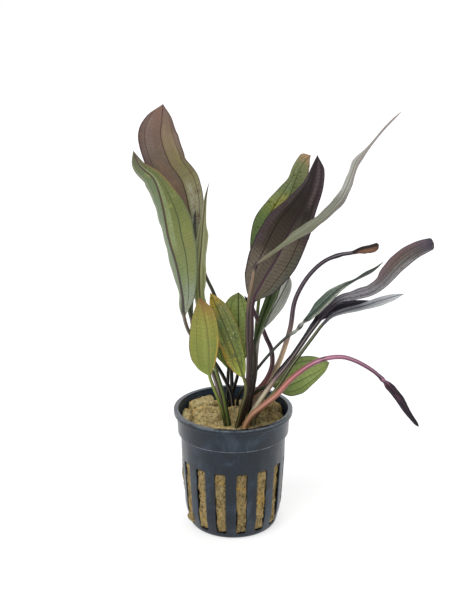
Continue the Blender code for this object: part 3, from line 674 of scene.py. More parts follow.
def wool_finish(name, dark, middle, light):
    """Dull ochre rock fibre: a matted grain, pale threads, dark specks, and ochre folds with a painted
    highlight on the top's ridges. The top is painted lighter, less so towards +X, and creases, cracks, pits
    and gaps take painted shade."""
    paint = Paint(name, Roughness=0.95, Specular_IOR_Level=0.12)
    east_mm = paint.millimetres("X")
    height_mm = paint.millimetres("Z")
    clumps = paint.grain(paint.place, 210.0, 5.0, 0.62, 0.5)
    strands = paint.grain(paint.stretch(1700.0, 1700.0, 420.0), 1.0, 4.0, 0.7, 0.8)
    crossed = paint.grain(paint.stretch(520.0, 1800.0, 1500.0), 1.0, 3.0, 0.7, 0.8)
    specks = paint.grain(paint.place, 950.0, 2.0, 0.5)
    crease, ochre = paint.fact("crease"), paint.fact("ochre")
    tint = paint.blend(paint.step(clumps, 0.34, 0.6), dark, middle)
    tint = paint.blend(paint.step(strands * 0.6 + crossed * 0.4, 0.44, 0.64) * 0.75, tint, light)
    # painted light: the top is paler
    tint = paint.blend(paint.step(height_mm, 46.0, 51.0) * paint.step(clumps, 0.3, 0.6) * 0.6, tint,
                       "#bcb286")
    tint = paint.blend(paint.step(clumps * 0.5 + specks * 0.5, 0.55, 0.64) * 0.55, tint, "#b8913c")
    # ochre folds, with a painted highlight on the top's ridge crests
    tint = paint.blend(ochre * (0.3 + clumps * 0.8), tint, "#b8903a")
    tint = paint.blend((1 - paint.step(specks, 0.34, 0.43)) * 0.7, tint, "#3f3520")
    # painted light and shade: the top lighter, and less so towards +X
    shaded_side = paint.step(east_mm, -16.0, 18.0)
    tint = paint.shade(tint, paint.step(height_mm, 46.0, 50.0) * (0.53 - shaded_side * 0.4) + 1.0)
    # painted shade in the marked creases, cracks, pits and gaps
    tint = paint.blend(crease * 0.8, tint, "#3b3120")
    return paint.finish(Base_Color=tint, Normal=paint.bump(strands + crossed + clumps, 0.9, 0.0006))


def mark(piece, **facts):
    """Writes a number for each point on a piece, which its material reads by its name."""
    for fact, values in facts.items():
        layer = piece.data.attributes.new(fact, "FLOAT", "POINT")
        layer.data.foreach_set("value", np.array(values, np.float32))


noise.seed_set(WOOL_SEED)
wool, crease_shades, ochres_and_ridge_lights = wool_plug()
mark(wool, crease=crease_shades, ochre=ochres_and_ridge_lights)
wool.data.materials.append(wool_finish("wool_mass", "#7a6845", "#a08b5f", "#c8b382"))
hand_over(wool, "wool_plug")

fibres = mesh_piece("wool_fibres", [v.co / MM for v in wool.data.vertices],
                    [tuple(f.vertices) for f in wool.data.polygons
                     if f.center.z > FIBRES_FROM_HEIGHT * MM])
mark(fibres, crease=crease_shades, ochre=ochres_and_ridge_lights)
grown(fibres, fibre_tree(), Fibres_per_square_metre=820000.0, Length=2.0 * MM, Thickness=0.09 * MM,
      Seed=5, Finish=wool_finish("wool_fibre", "#85734a", "#b39d6b", "#dac794"))
fibres.data.shade_smooth()
hand_over(fibres)


# The crown: the short woody rootstock that all the stalks grow from, deep in the wool. The CAD
# node stays as it is, with a rough brown bark.
bark = Paint("rootstock_bark", Roughness=0.85)
bark_noise = bark.grain(bark.place, 600.0, 5.0, 0.65, 0.5)
bark_tint = bark.blend(bark.step(bark_noise, 0.35, 0.7), "#2c2219", "#5d4a34")
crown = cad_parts["crown"]
crown.data.materials.clear()
crown.data.materials.append(bark.finish(Base_Color=bark_tint, Normal=bark.bump(bark_noise, 0.8, 0.0005)))


# The tall bronze leaf, behind on the left: the oldest blade, mauve-brown with an olive right half
# and a pale crease beside its midrib. Leaves are grown from one route each: a round stalk that
# flattens into a thin blade with a midrib, sunken lateral veins and a wavy margin.
PER_SPAN = 12  # steps of the smooth curve between two points of a route
STALK_STEP = 1.5  # between two rings of a stalk
BLADE_STEP = 0.75  # between two rings of a blade
FEWEST_RINGS = (6, 16)  # on a stalk and on a blade
AIM_REACH = 0.8  # how far to each side of a ring its direction is taken
SIDE_COLUMNS = 15  # from the midrib to a margin
OPENING = 0.12  # the share of the blade over which the round stalk goes flat
PLATE_HALF = 0.17  # half a blade's thickness
RIB_TIP_RADIUS = 0.16
RIB_SUNK = 0.62  # the share of the midrib that doesn't stand out in front
VEIN_DEPTH, VEIN_HALF = 0.16, 0.05
BANK_HEIGHT, BANK_HALF, BANK_OFF = 0.10, 0.1, 0.16  # the swelling beside a sunken vein
RIPPLE_HEIGHT, RIPPLE_LENGTH = 0.35, 0.43  # of the finer wave, as shares of the long one's
PATCHES_PER_METRE = 190.0
FINE_PER_METRE = 1400.0
CELLS_PER_MM = 0.85
MOTTLE = 0.32  # how much the blade's lightness varies


def smooth_curve(route):
    """A smooth curve through the route's points, as closely spaced points."""
    route = np.array(route, float)
    ends = np.vstack([2 * route[0] - route[1], route, 2 * route[-1] - route[-2]])
    curve = []
    for before, start, end, after in zip(ends, ends[1:], ends[2:], ends[3:]):
        chord = np.linalg.norm(end - start)
        tangent_a = (end - before) * chord / (chord + np.linalg.norm(start - before))
        tangent_b = (after - start) * chord / (chord + np.linalg.norm(after - end))
        for t in np.arange(PER_SPAN) / PER_SPAN:
            curve.append(
                (2 * t ** 3 - 3 * t ** 2 + 1) * start + (t ** 3 - 2 * t ** 2 + t) * tangent_a
                + (3 * t ** 2 - 2 * t ** 3) * end + (t ** 3 - t ** 2) * tangent_b)
    curve.append(route[-1])
    return np.array(curve)


def smooth_values(shares, values, at):
    """Values that pass smoothly through the given ones and don't overshoot them."""
    shares, values = np.array(shares, float), np.array(values, float)
    steps = np.diff(values) / np.diff(shares)
    slopes = np.zeros(len(values))
    total = steps[:-1] + steps[1:]
    slopes[1:-1] = np.where(steps[:-1] * steps[1:] > 0,
                            2 * steps[:-1] * steps[1:] / np.where(total == 0, 1, total), 0)
    slopes[0], slopes[-1] = steps[0], steps[-1]
    span = np.clip(np.searchsorted(shares, at) - 1, 0, len(steps) - 1)
    width = shares[span + 1] - shares[span]
    t = np.clip((at - shares[span]) / width, 0, 1)
    return ((2 * t ** 3 - 3 * t ** 2 + 1) * values[span] + (t ** 3 - 2 * t ** 2 + t) * width
            * slopes[span] + (3 * t ** 2 - 2 * t ** 3) * values[span + 1]
            + (t ** 3 - t ** 2) * width * slopes[span + 1])


def rise(value, low, high):
    """A smooth rise from 0 to 1 as the values of an array go from low to high."""
    t = np.clip((value - low) / (high - low), 0, 1)
    return t * t * (3 - 2 * t)


def round_leaf(left_front, right_front, right_back, left_back):
    """Values of the two halves' fronts and backs in one row for each ring, margin by margin."""
    return np.concatenate([left_front[:, ::-1], right_front[:, 1:], right_back[:, -2::-1],
                           left_back[:, 1:-1]], 1)


def leaf_rings(route, blade_from):
    """The rings of a leaf: how far along its route each is, where on the route the blade starts
    and ends, and the rings' middles and directions across the leaf and out of its front."""
    curve = smooth_curve(route)
    run = np.concatenate([[0], np.cumsum(np.linalg.norm(np.diff(curve, axis=0), axis=1))])
    start, end = run[blade_from * PER_SPAN], run[-1]
    stalk_rings = max(FEWEST_RINGS[0], round(start / STALK_STEP))
    blade_rings = max(FEWEST_RINGS[1], round((end - start) / BLADE_STEP))
    share = np.linspace(0, 1, blade_rings + 1)
    at = np.concatenate([np.linspace(0, start, stalk_rings, endpoint=False),
                         start + (end - start) * (share + 0.02 * np.sin(np.pi * share) * share)])
    middles, ahead, behind = (
        np.stack([np.interp(at + shift, run, curve[:, axis]) for axis in range(3)], axis=1)
        for shift in (0.0, AIM_REACH, -AIM_REACH))
    along = ahead - behind
    along /= np.linalg.norm(along, axis=1)[:, None]
    across = np.cross(np.array((0.0, 1.0, 0.0)), along)
    across /= np.linalg.norm(across, axis=1)[:, None]
    return at, start, end, middles, across, np.cross(across, along)


def leaf_relief(side, at, c, far, seed, wave, wave_length, veins, crumple):
    """How far the points of one half stand out of the leaf's smooth front: waves that grow from
    the midrib to the margin, sunken veins with a swelling beside each, and crumples."""
    push = wave * far * c ** 1.7 * np.sin(2 * math.pi * at / wave_length + seed * 1.9 + side * 1.2)
    push += RIPPLE_HEIGHT * wave * far * c ** 2.5 * np.sin(
        2 * math.pi * at / (wave_length * RIPPLE_LENGTH) + seed * 2.7 - side)
    for vein in veins:
        push -= VEIN_DEPTH * far * np.exp(-((c - vein) / VEIN_HALF) ** 2)
        push += BANK_HEIGHT * far * np.exp(-((c - vein + BANK_OFF) / BANK_HALF) ** 2)
    if crumple:
        push += crumple * far * np.sin(at * 2.1 + c * 7 + seed) * np.sin(at * 0.9 - c * 5 + side)
    return push


def grow_leaf(name, route, blade_from, stalk, widths, seed, lifts=((0, 0, 0),), wave=0.3,
              wave_length=16, veins=(0.5,), swellings=(), rib=1, crumple=0):
    """A leaf with its stalk as one closed mesh. The route's points have x, y and z, and the blade
    starts at one of them. The stalk has a radius at its foot and its top, and a swelling has a
    share of the stalk, an extra share of its radius and a reach. Widths and lifts have a share of
    the blade and the width or the angle in degrees of the left and the right half. Each point
    keeps its place on the leaf as attributes, for the paint."""
    at, start, end, middles, across, front = leaf_rings(route, blade_from)
    blade = np.clip((at - start) / (end - start), 0, 1)
    climb = np.clip(at / start, 0, 1)
    foot, top = stalk
    radius = foot + (top - foot) * climb
    for place, extra, reach in swellings:
        radius = radius * (1 + extra * np.exp(-((at - place * start) / reach) ** 2))
    rib_radius = np.where(blade > 0, top + (RIB_TIP_RADIUS - top) * blade ** 0.6, radius) * np.where(
        blade > 0, 1 + (rib - 1) * rise(blade, 0, 0.1), 1)
    table = [(0, top, top), *widths, (1, 0, 0)]
    opened = rise(blade, 0, OPENING)[:, None]
    columns = np.linspace(0, 1, SIDE_COLUMNS + 1)
    round_share = np.sin(columns * math.pi / 2)[None, :]
    flat_share = (columns * (0.5 + 0.5 * columns))[None, :]
    c = round_share * (1 - opened) + flat_share * opened
    halves = []
    for side, column in ((-1, 1), (1, 2)):
        half_widths = smooth_values([row[0] for row in table], [row[column] for row in table], blade)
        width = np.where(at < start, radius, half_widths)
        lift = np.radians(np.interp(blade, [r[0] for r in lifts], [r[column] for r in lifts]))
        reach = c * width[:, None]
        angle = lift[:, None] * opened * rise(c, -0.1, 0.12)
        mid_angle = (angle[:, 1:] + angle[:, :-1]) / 2
        out, up = (
            np.concatenate([np.zeros((len(at), 1)), np.cumsum(turn(mid_angle) * np.diff(reach, axis=1),
                                                              axis=1)], 1)
            for turn in (np.cos, np.sin))
        centre = np.stack([out * side, up], axis=2)
        facing = np.stack([-np.sin(angle) * side, np.cos(angle)], axis=2)
        far = rise(width, 1, 4)[:, None] * opened * (1 - blade[:, None] ** 6)
        push = leaf_relief(side, at[:, None], c, far, seed, wave, wave_length, veins, crumple)
        plate = PLATE_HALF * opened * rise(1 - blade, -0.02, 0.06)[:, None]
        plate = plate * np.sqrt(np.clip(1 - c ** 10, 0, 1))
        bulge = np.sqrt(np.clip(rib_radius[:, None] ** 2 - reach ** 2, 0, None))
        thick_front = np.maximum(plate, bulge * (1 - RIB_SUNK * opened))
        halves.append((reach, centre + facing * (push + thick_front)[:, :, None],
                       centre + facing * (push - np.maximum(plate, bulge))[:, :, None]))
    (reach_l, front_l, back_l), (reach_r, front_r, back_r) = halves
    flat = round_leaf(front_l, front_r, back_r, back_l)
    count = flat.shape[1]
    rings = len(at) - 1
    points = (middles[:, None, :] + across[:, None, :] * flat[:, :, :1]
              + front[:, None, :] * flat[:, :, 1:])
    points = np.vstack([points[:rings].reshape(-1, 3), middles[-1]])
    piece = mesh_piece(name, points, tube_faces(rings, count, False))
    tips = {"across": 0.0, "off": 0.0, "back": 0.5, "blade": 1.0, "climb": 1.0, "reach": end}
    facts = {"across": round_leaf(-c, c, c, -c),
             "off": round_leaf(-reach_l, reach_r, reach_r, -reach_l),
             "back": round_leaf(c * 0, c * 0, c * 0 + 1, c * 0 + 1)}
    for fact, values in (("blade", blade), ("climb", climb), ("reach", at)):
        facts[fact] = np.repeat(values[:, None], count, axis=1)
    mark(piece, **{fact: np.append(values[:rings], tips[fact]) for fact, values in facts.items()})
    return piece


def paint_leaf(leaf, stalk, left, right, midrib, edge, vein, cross, strips=(), cross_gap=1.5,
               veins=(-0.5, 0.5), vein_width=0.035, midrib_width=(0.6, 0.22), edge_width=0.05,
               net=0.15, back=None, blotch=None, blotch_at=(0.56, 0.7), spots=None, shine=0.3,
               rough=0.42, streaks=0.4, stalk_highlight=None, stalk_shade=None):
    """A leaf's colours: along each half, in strips, at its veins and margin, and along the stalk, with a
    painted highlight line down the stalk's left side and painted shade on its right side.
    A strip has its middle and half width from the margin at -1 to the one at 1, its lowest and
    highest share of the blade, a colour and a strength."""
    paint = Paint(leaf.name, Specular_IOR_Level=shine)
    across, off, behind, blade, climb, reach = (
        paint.fact(fact) for fact in ("across", "off", "back", "blade", "climb", "reach"))
    beside = abs(across)
    patches = paint.grain(paint.place, PATCHES_PER_METRE, 4.0, 0.6, 0.5)
    fine = paint.grain(paint.place, FINE_PER_METRE, 3.0, 0.6)
    run_lines = paint.node("ShaderNodeCombineXYZ", {}, {"X": off * 2.2, "Y": behind, "Z": reach * 0.06})
    threads = paint.grain(run_lines, 1.6, 3.0, 0.6)
    tint = paint.blend(paint.step(across, -0.02, 0.02), paint.ramp(blade, left),
                       paint.ramp(blade, right))
    for middle, half, low, high, code, strength in strips:
        strip = 1 - paint.step(abs(across - middle), half * 0.5, half)
        strip = strip * paint.step(blade, low - 0.05, low + 0.05)
        strip = strip * (1 - paint.step(blade, high - 0.05, high + 0.05))
        broken = paint.step(threads + patches * 0.4, 0.55, 0.85) * 0.5 + 0.5
        tint = paint.blend(strip * broken * strength, tint, code)
    if back:
        tint = paint.blend(behind, tint, paint.ramp(blade, back))
    if blotch:
        cloud = paint.grain(paint.place, 330.0, 3.0, 0.65, 0.7)
        tint = paint.blend(paint.step(cloud, *blotch_at) * 0.85, tint, blotch)
    tint = paint.shade(tint, 1 - MOTTLE * 0.5 + (patches * 0.6 + fine * 0.4) * MOTTLE)
    slant = reach - abs(off) * 0.3 + patches * 2.2
    ladder = paint.maths("PINGPONG", slant, cross_gap / 2) / (cross_gap / 2)
    rungs = (1 - paint.step(ladder, 0.0, 0.3)) * paint.step(beside, 0.03, 0.12)
    rungs = rungs * paint.step(blade, 0.04, 0.14) * paint.step(fine + patches, 0.75, 1.15)
    tint = paint.blend(rungs * cross, tint, vein)
    cell_place = paint.node("ShaderNodeCombineXYZ", {}, {"X": off, "Y": behind, "Z": reach * 0.75})
    cells = paint.node("ShaderNodeTexVoronoi", {"feature": "DISTANCE_TO_EDGE"}, {
        "Vector": cell_place, "Scale": CELLS_PER_MM, "Randomness": 1.0}, "Distance")
    tint = paint.blend((1 - paint.step(cells, 0.02, 0.13)) * paint.step(blade, 0.05, 0.15) * net,
                       tint, vein)
    for place in veins:
        line = 1 - paint.step(abs(across - place), vein_width * 0.4, vein_width)
        line = line * paint.step(blade, 0.03, 0.1) * (1 - paint.step(blade, 0.86, 0.99))
        tint = paint.blend(line * 0.85, tint, vein)
    if spots:
        spot_colour, spots_per_metre, spot_size = spots
        dots = paint.node("ShaderNodeTexVoronoi", {"feature": "F1"}, {
            "Vector": paint.place, "Scale": spots_per_metre, "Randomness": 1.0}, "Distance")
        tint = paint.blend((1 - paint.step(dots, spot_size, spot_size + 0.1))
                           * paint.step(patches, 0.42, 0.55) * 0.9, tint, spot_colour)
    hem = paint.step(beside, 1 - edge_width * 2, 1 - edge_width * 0.5)
    tint = paint.blend(hem * 0.9, tint, paint.along(blade, edge))
    narrow = midrib_width[0] + blade * (midrib_width[1] - midrib_width[0])
    spine = 1 - paint.step(abs(off) / narrow, 0.55, 1.0)
    tint = paint.blend(spine * 0.9, tint, paint.along(blade, midrib))
    stem = paint.shade(paint.ramp(climb, stalk), 1 - streaks * 0.5 + threads * streaks)
    # painted highlight: a light line down the stalk's left side
    if stalk_highlight:
        stem = paint.blend((1 - paint.step(abs(across + 0.4), 0.1, 0.35)) * 0.65, stem,
                           paint.along(climb, stalk_highlight))
    # painted shade on the stalk's right side
    if stalk_shade:
        stem = paint.blend(paint.step(across, 0.05, 0.7) * 0.75, stem, paint.along(climb, stalk_shade))
    on_blade = paint.step(blade, 0.0, 0.03)
    height = (rungs * 0.5 + patches * 0.5 + fine * 0.25) * on_blade + threads * (1 - on_blade)
    gloss = rough + (patches * 0.6 + fine * 0.4 - 0.5) * 0.2
    leaf.data.materials.append(paint.finish(
        Base_Color=paint.blend(on_blade, stem, tint), Roughness=gloss,
        Normal=paint.bump(height, 0.5, 0.00022)))


tall_bronze = grow_leaf(
    "tall_bronze_leaf", blade_from=6, stalk=(0.95, 0.8), seed=1, wave=0.7, wave_length=26, veins=(0.72,),
    route=((0.5, 13.2, 47), (-0.3, 13.5, 55), (-0.6, 13.5, 62.5), (-1.5, 12, 79.5), (-4.5, 10, 97),
        (-9, 9, 109.5), (-13, 8.5, 119), (-15.5, 8, 131), (-19, 9, 145.5), (-22.5, 11, 160), (-28, 13, 168),
        (-32, 16, 179), (-31.5, 18, 187.5), (-31, 19, 193.5)),
    widths=((0.16, 2.8, 3.6), (0.34, 6, 6.6), (0.52, 8.6, 8.8), (0.67, 10.2, 8.4), (0.81, 10.2, 7.8),
        (0.92, 7.3, 4.6)),
    lifts=((0, 10, 10), (0.5, 5, 30), (0.75, 5, 12), (1, 0, 0)))
paint_leaf(
    tall_bronze, vein="#4c3d36", cross=0.35, veins=(-0.72, 0.72), vein_width=0.03, midrib_width=(0.6, 0.26),
    net=0.14, blotch="#7b6450", stalk_highlight="#6a6b5c",
    stalk=((0, "#131013"), (0.5, "#1d1c21"), (0.85, "#3f3f38"), (1, "#56533f")),
    left=((0, "#7c7656"), (0.2, "#74694e"), (0.42, "#735f4c"), (0.6, "#635849"), (0.8, "#6b594d"),
        (1, "#7f6055")),
    right=((0, "#8c8c66"), (0.3, "#9d9b7c"), (0.45, "#918c69"), (0.6, "#7f794e"), (0.8, "#7c6a4e"),
        (1, "#735d56")),
    strips=((-0.86, 0.18, 0.3, 1, "#5a4644", 0.8), (0.87, 0.16, 0.6, 1, "#5f4c48", 0.75),
        (0.3, 0.2, 0.14, 0.52, "#b2b096", 0.8), (-0.7, 0.25, 0.3, 0.46, "#b2968a", 0.6),
        (0.6, 0.3, 0.22, 0.48, "#a9a788", 0.7), (-0.35, 0.2, 0.45, 0.7, "#815e50", 0.5),
        # painted highlight: the grey strip high on the left half, from 0.74 to 0.93
        (0.22, 0.12, 0.6, 0.9, "#84755e", 0.6), (-0.6, 0.3, 0.74, 0.93, "#7f7069", 0.4),
        (0.85, 0.14, 0.1, 0.5, "#9c997c", 0.6)),
    midrib=((0, "#6a5c48"), (0.4, "#4a3a34"), (1, "#44312f")),
    edge=((0, "#7f7a60"), (0.5, "#76705a"), (0.62, "#4a3238")),
    back=((0, "#6f6a4c"), (0.5, "#6b5a4e"), (1, "#7c5c58")))
hand_over(tall_bronze, "leaf_tall_bronze")


# The left green leaf: long, green and olive, its left half folded forward with a painted bluish sheen, a
# thick purple midrib, and an orange-brown margin at the upper right.
left_green = grow_leaf(
    "left_green_leaf", blade_from=7, stalk=(0.95, 0.8), seed=2, wave_length=22,
    route=((0.6, 8.2, 47), (-0.3, 8.2, 55), (-1, 8, 60.5), (-3.5, 6, 67.5), (-8, 3, 77), (-14, 0, 86.5),
        (-19.5, -2, 93.5), (-22, -4, 102.5), (-22.5, -5, 111.5), (-24.5, -6, 125), (-28, -7, 139),
        (-30.5, -6, 153.5), (-34, -4, 164), (-40, -2, 169.5), (-43, 1, 175.5)),
    widths=((0.12, 3.2, 5.8), (0.29, 7, 9.2), (0.42, 8.4, 11.5), (0.53, 8.6, 11.8), (0.64, 8, 9.6),
        (0.74, 6.8, 6.2), (0.83, 5.6, 3.4), (0.93, 3.6, 1.8)),
    lifts=((0, -55, 5), (0.4, -68, 8), (0.52, -72, 8), (0.65, -60, 5), (0.8, -35, 0), (1, -20, 0)))
paint_leaf(
    left_green, vein="#3b472a", cross=0.36, veins=(0.5,), vein_width=0.036, midrib_width=(0.95, 0.4),
    net=0.2, blotch="#7f8648", stalk_highlight="#8f8f86",
    stalk=((0, "#131013"), (0.5, "#1d191d"), (0.8, "#3c3230"), (1, "#6b5c48")),
    # painted sheen: the pale bluish grey of the left half near its foot
    left=((0, "#7d8a70"), (0.3, "#6d7c59"), (0.6, "#60724c"), (0.85, "#66724f"), (1, "#5c5242")),
    right=((0, "#a0a698"), (0.14, "#8f9980"), (0.26, "#7b8658"), (0.42, "#757b47"), (0.62, "#686f3b"),
        (0.85, "#666b40"), (1, "#523e38")),
    # painted sheen: the pale strips along the left margin and beside the midrib on the right
    strips=((-0.85, 0.22, 0.05, 0.95, "#8f987f", 0.7), (0.16, 0.13, 0.4, 0.95, "#8f9c72", 0.75),
        (0.93, 0.12, 0.72, 0.92, "#8c6a40", 0.7), (0.7, 0.25, 0.2, 0.55, "#7f8346", 0.5),
        (0.2, 0.14, 0.08, 0.35, "#687a4a", 0.5), (-0.25, 0.15, 0.3, 0.7, "#587048", 0.5)),
    midrib=((0, "#3a3030"), (0.5, "#43332f"), (1, "#4a3632")),
    edge=((0, "#7c8a76"), (0.66, "#6d724c"), (0.78, "#7a5a3a"), (1, "#4c3630")),
    # painted sheen: the pale bluish grey of the back
    back=((0, "#98a68f"), (0.5, "#86997a"), (1, "#7d7a62")))
hand_over(left_green, "leaf_left_green")


# The narrow left leaf: olive, folded back along its midrib and seen nearly on edge, with a thin
# dark point.
left_narrow = grow_leaf(
    "left_narrow_leaf", blade_from=5, stalk=(0.95, 0.8), seed=3, wave=0.4, wave_length=18, veins=(0.55,),
    route=((-1.2, -6.6, 47), (-1.8, -7.6, 52), (-3, -7.5, 58), (-4.5, -7, 66), (-7.5, -6, 76.5),
        (-11.5, -5, 92.5), (-14.5, -3, 108), (-15, -1, 120.5), (-14, 1, 134), (-13, 2, 146),
        (-12, 3, 154.5), (-10.5, 3, 161.5)),
    widths=((0.23, 2.4, 4), (0.41, 2.9, 4.8), (0.6, 2.8, 4.9), (0.775, 1.2, 1.9), (0.9, 0.6, 0.6)),
    lifts=((0, -15, -40), (0.3, -20, -58), (0.7, -20, -58), (1, -10, -30)))
paint_leaf(
    left_narrow, midrib="#4a4630", edge="#8f8c6c", vein="#55562f", cross=0.2, veins=(-0.6, 0.35),
    midrib_width=(0.45, 0.2), stalk_highlight="#82934c", stalk_shade="#1b1c12",
    stalk=((0, "#3f4c22"), (0.3, "#52602c"), (0.6, "#616c36"), (1, "#6c7a38")),
    left=((0, "#7a8c40"), (0.3, "#9aa064"), (0.6, "#a8a87e"), (0.8, "#9a9876"), (0.95, "#6a6650"),
        (1, "#332f29")),
    right=((0, "#7c8b44"), (0.4, "#a0a468"), (0.7, "#a2a276"), (0.9, "#8a876a"), (1, "#2f2c26")),
    strips=((0.6, 0.1, 0.1, 0.9, "#59602f", 0.7), (-0.45, 0.08, 0.1, 0.9, "#6b6a44", 0.7),
        (-0.85, 0.14, 0.15, 0.95, "#c0bca0", 0.85), (0.2, 0.12, 0.3, 0.9, "#a3a676", 0.7)))
hand_over(left_narrow, "leaf_left_narrow")


# The hooked leaf: small and grey-green between the left leaves, with a black hooked tip.
left_hooked = grow_leaf(
    "left_hooked_leaf", blade_from=6, stalk=(1.1, 0.8), seed=4, lifts=((0, 20, 20), (1, 10, 10)),
    veins=(0.55,),
    route=((-4, 2, 47), (-4, 1, 54), (-6, -1, 62.5), (-8.5, -2.5, 72.5), (-13, -4, 84.5),
        (-16.8, -3.4, 93.5), (-18.8, -1, 100), (-20, 2.2, 117.5), (-19, 4, 130.5), (-17.5, 5, 141.5),
        (-16.5, 5, 149)),
    widths=((0.3, 2.6, 2.6), (0.55, 2.8, 2.8), (0.8, 1.8, 1.6)))
paint_leaf(
    left_hooked, midrib="#3a352b", vein="#4a4e38", cross=0.15, stalk_highlight="#b5aca2", stalk_shade="#1b1516",
    stalk=((0, "#5e5048"), (0.3, "#7c6c64"), (0.7, "#675a55"), (1, "#5a4a48")),
    left=((0, "#6f7a5e"), (0.6, "#7d7f72"), (0.9, "#6f7066"), (0.95, "#2a2624"), (1, "#12100f")),
    right=((0, "#5f6a4c"), (0.6, "#6a6e5e"), (0.9, "#55564c"), (0.95, "#1f1b1a"), (1, "#0f0d0d")),
    strips=((-0.75, 0.25, 0.1, 0.92, "#c4c4b8", 0.9),),
    edge=((0, "#a9a99c"), (0.85, "#a9a99c"), (0.95, "#1c1918"), (1, "#0f0d0d")))
hand_over(left_hooked, "leaf_left_hooked")


# The back green leaf, behind the purple one: green with strong cross veins, a yellowing middle
# with brown spots, a dark margin and a salmon tip.
back_green = grow_leaf(
    "back_green_leaf", blade_from=5, stalk=(0.9, 0.75), seed=5, lifts=((0, -10, -10),), wave=0.6,
    wave_length=20, veins=(0.45, 0.78),
    route=((5.8, 11, 47), (7.5, 11.5, 57), (9.5, 12, 75.5), (10.5, 12.5, 88), (11.5, 12.5, 101.5),
        (13, 12.5, 114.5), (15.5, 12.5, 128.5), (19, 13, 138.5), (23, 14, 147.5), (26.5, 15.5, 156),
        (29.5, 17.5, 164), (32.5, 19.5, 168.5), (35, 21, 170.5)),
    widths=((0.1, 4.2, 3), (0.23, 8.2, 5.5), (0.4, 10.4, 7.5), (0.56, 8.5, 8), (0.7, 5.4, 7),
        (0.8, 3.2, 5.6), (0.88, 3.4, 4.6), (0.95, 3.4, 2.8)))
paint_leaf(
    back_green, midrib="#44502a", edge="#3c3a28", vein="#36421f", cross=0.65, cross_gap=1.9, veins=(-0.5,),
    edge_width=0.03, net=0.25, spots=("#453617", 400, 0.16), stalk_highlight="#7a8550",
    stalk=((0, "#211f19"), (0.6, "#424828"), (1, "#55632f")),
    left=((0, "#4b5e30"), (0.25, "#4f6534"), (0.45, "#647640"), (0.58, "#7c8440"), (0.7, "#6b7a50"),
        (0.9, "#767a50"), (1, "#b5876a")),
    right=((0, "#4b5e30"), (0.35, "#5b6a3c"), (0.55, "#787a3c"), (0.7, "#66704a"), (0.9, "#777a4e"),
        (1, "#b5876a")),
    strips=((-0.2, 0.5, 0.5, 0.66, "#a39b3c", 0.5), (0.92, 0.1, 0.7, 1, "#7a5a44", 0.7)))
hand_over(back_green, "leaf_back_green")


# The purple leaf in the middle: the broadest, dark purple-brown, with near-black veins and fine cross
# veins. Its foot is lighter, and a painted sheen runs beside the midrib near the tip and along the right
# margin.
centre_purple = grow_leaf(
    "centre_purple_leaf", blade_from=6, stalk=(1.2, 1), seed=6,
    lifts=((0, 10, 15), (0.5, 8, 15), (1, 0, 0)), wave=0.6, wave_length=24, veins=(0.5, 0.8),
    route=((3.2, -2.6, 47), (5.1, -5.3, 57.5), (6.3, -6, 65.5), (7.1, -6, 72.5), (7.7, -6.5, 82.5),
        (8.1, -7.5, 97), (8.7, -8.5, 110.5), (13, -9, 120), (19.5, -8, 131), (24.5, -5, 141.5),
        (30, -1, 151), (34.5, 3, 160.5), (37, 9, 172.5)),
    widths=((0.07, 5.5, 5), (0.146, 9, 7.6), (0.325, 13, 9.4), (0.49, 11.8, 9.2), (0.655, 7.9, 6.5),
        (0.81, 3.9, 5.1), (0.91, 2, 4.1)))
paint_leaf(
    centre_purple, edge="#3a2d33", vein="#150f0e", cross=0.75, cross_gap=1.7, veins=(-0.55, 0.6),
    vein_width=0.028, midrib_width=(0.75, 0.3), net=0.16, shine=0.16, stalk_highlight="#7d7064",
    stalk_shade="#1f1617",
    stalk=((0, "#3f2b26"), (0.3, "#52433a"), (0.6, "#4a3d36"), (0.85, "#4a3238"), (1, "#42283a")),
    left=((0, "#574e41"), (0.2, "#585044"), (0.36, "#40382e"), (0.6, "#2a231c"), (1, "#2a2224")),
    right=((0, "#5c5546"), (0.22, "#635a4c"), (0.4, "#5c5347"), (0.5, "#3d352d"), (0.62, "#28211b"),
        (0.82, "#342b2b"), (1, "#33272c")),
    strips=((-0.88, 0.22, 0.33, 0.95, "#4d4043", 0.85), (0.85, 0.22, 0.05, 0.4, "#4f5349", 0.8),
        # painted sheen: the light strips right of the midrib near the tip, from 0.68, and along the right
        # margin, from 0.45
        (-0.72, 0.4, 0.05, 0.31, "#766b5f", 0.75), (0.4, 0.18, 0.68, 0.96, "#645656", 0.6),
        (0.88, 0.16, 0.45, 0.98, "#473a40", 0.8), (0.12, 0.1, 0.05, 0.35, "#6b6458", 0.5),
        (-0.2, 0.14, 0.05, 0.3, "#635a4e", 0.5)),
    midrib=((0, "#4a2c40"), (0.3, "#3a2433"), (0.7, "#201619"), (1, "#2a1d22")),
    back=((0, "#4c3a3c"), (0.5, "#3b262c"), (1, "#3a2228")))
hand_over(centre_purple, "leaf_centre_purple")


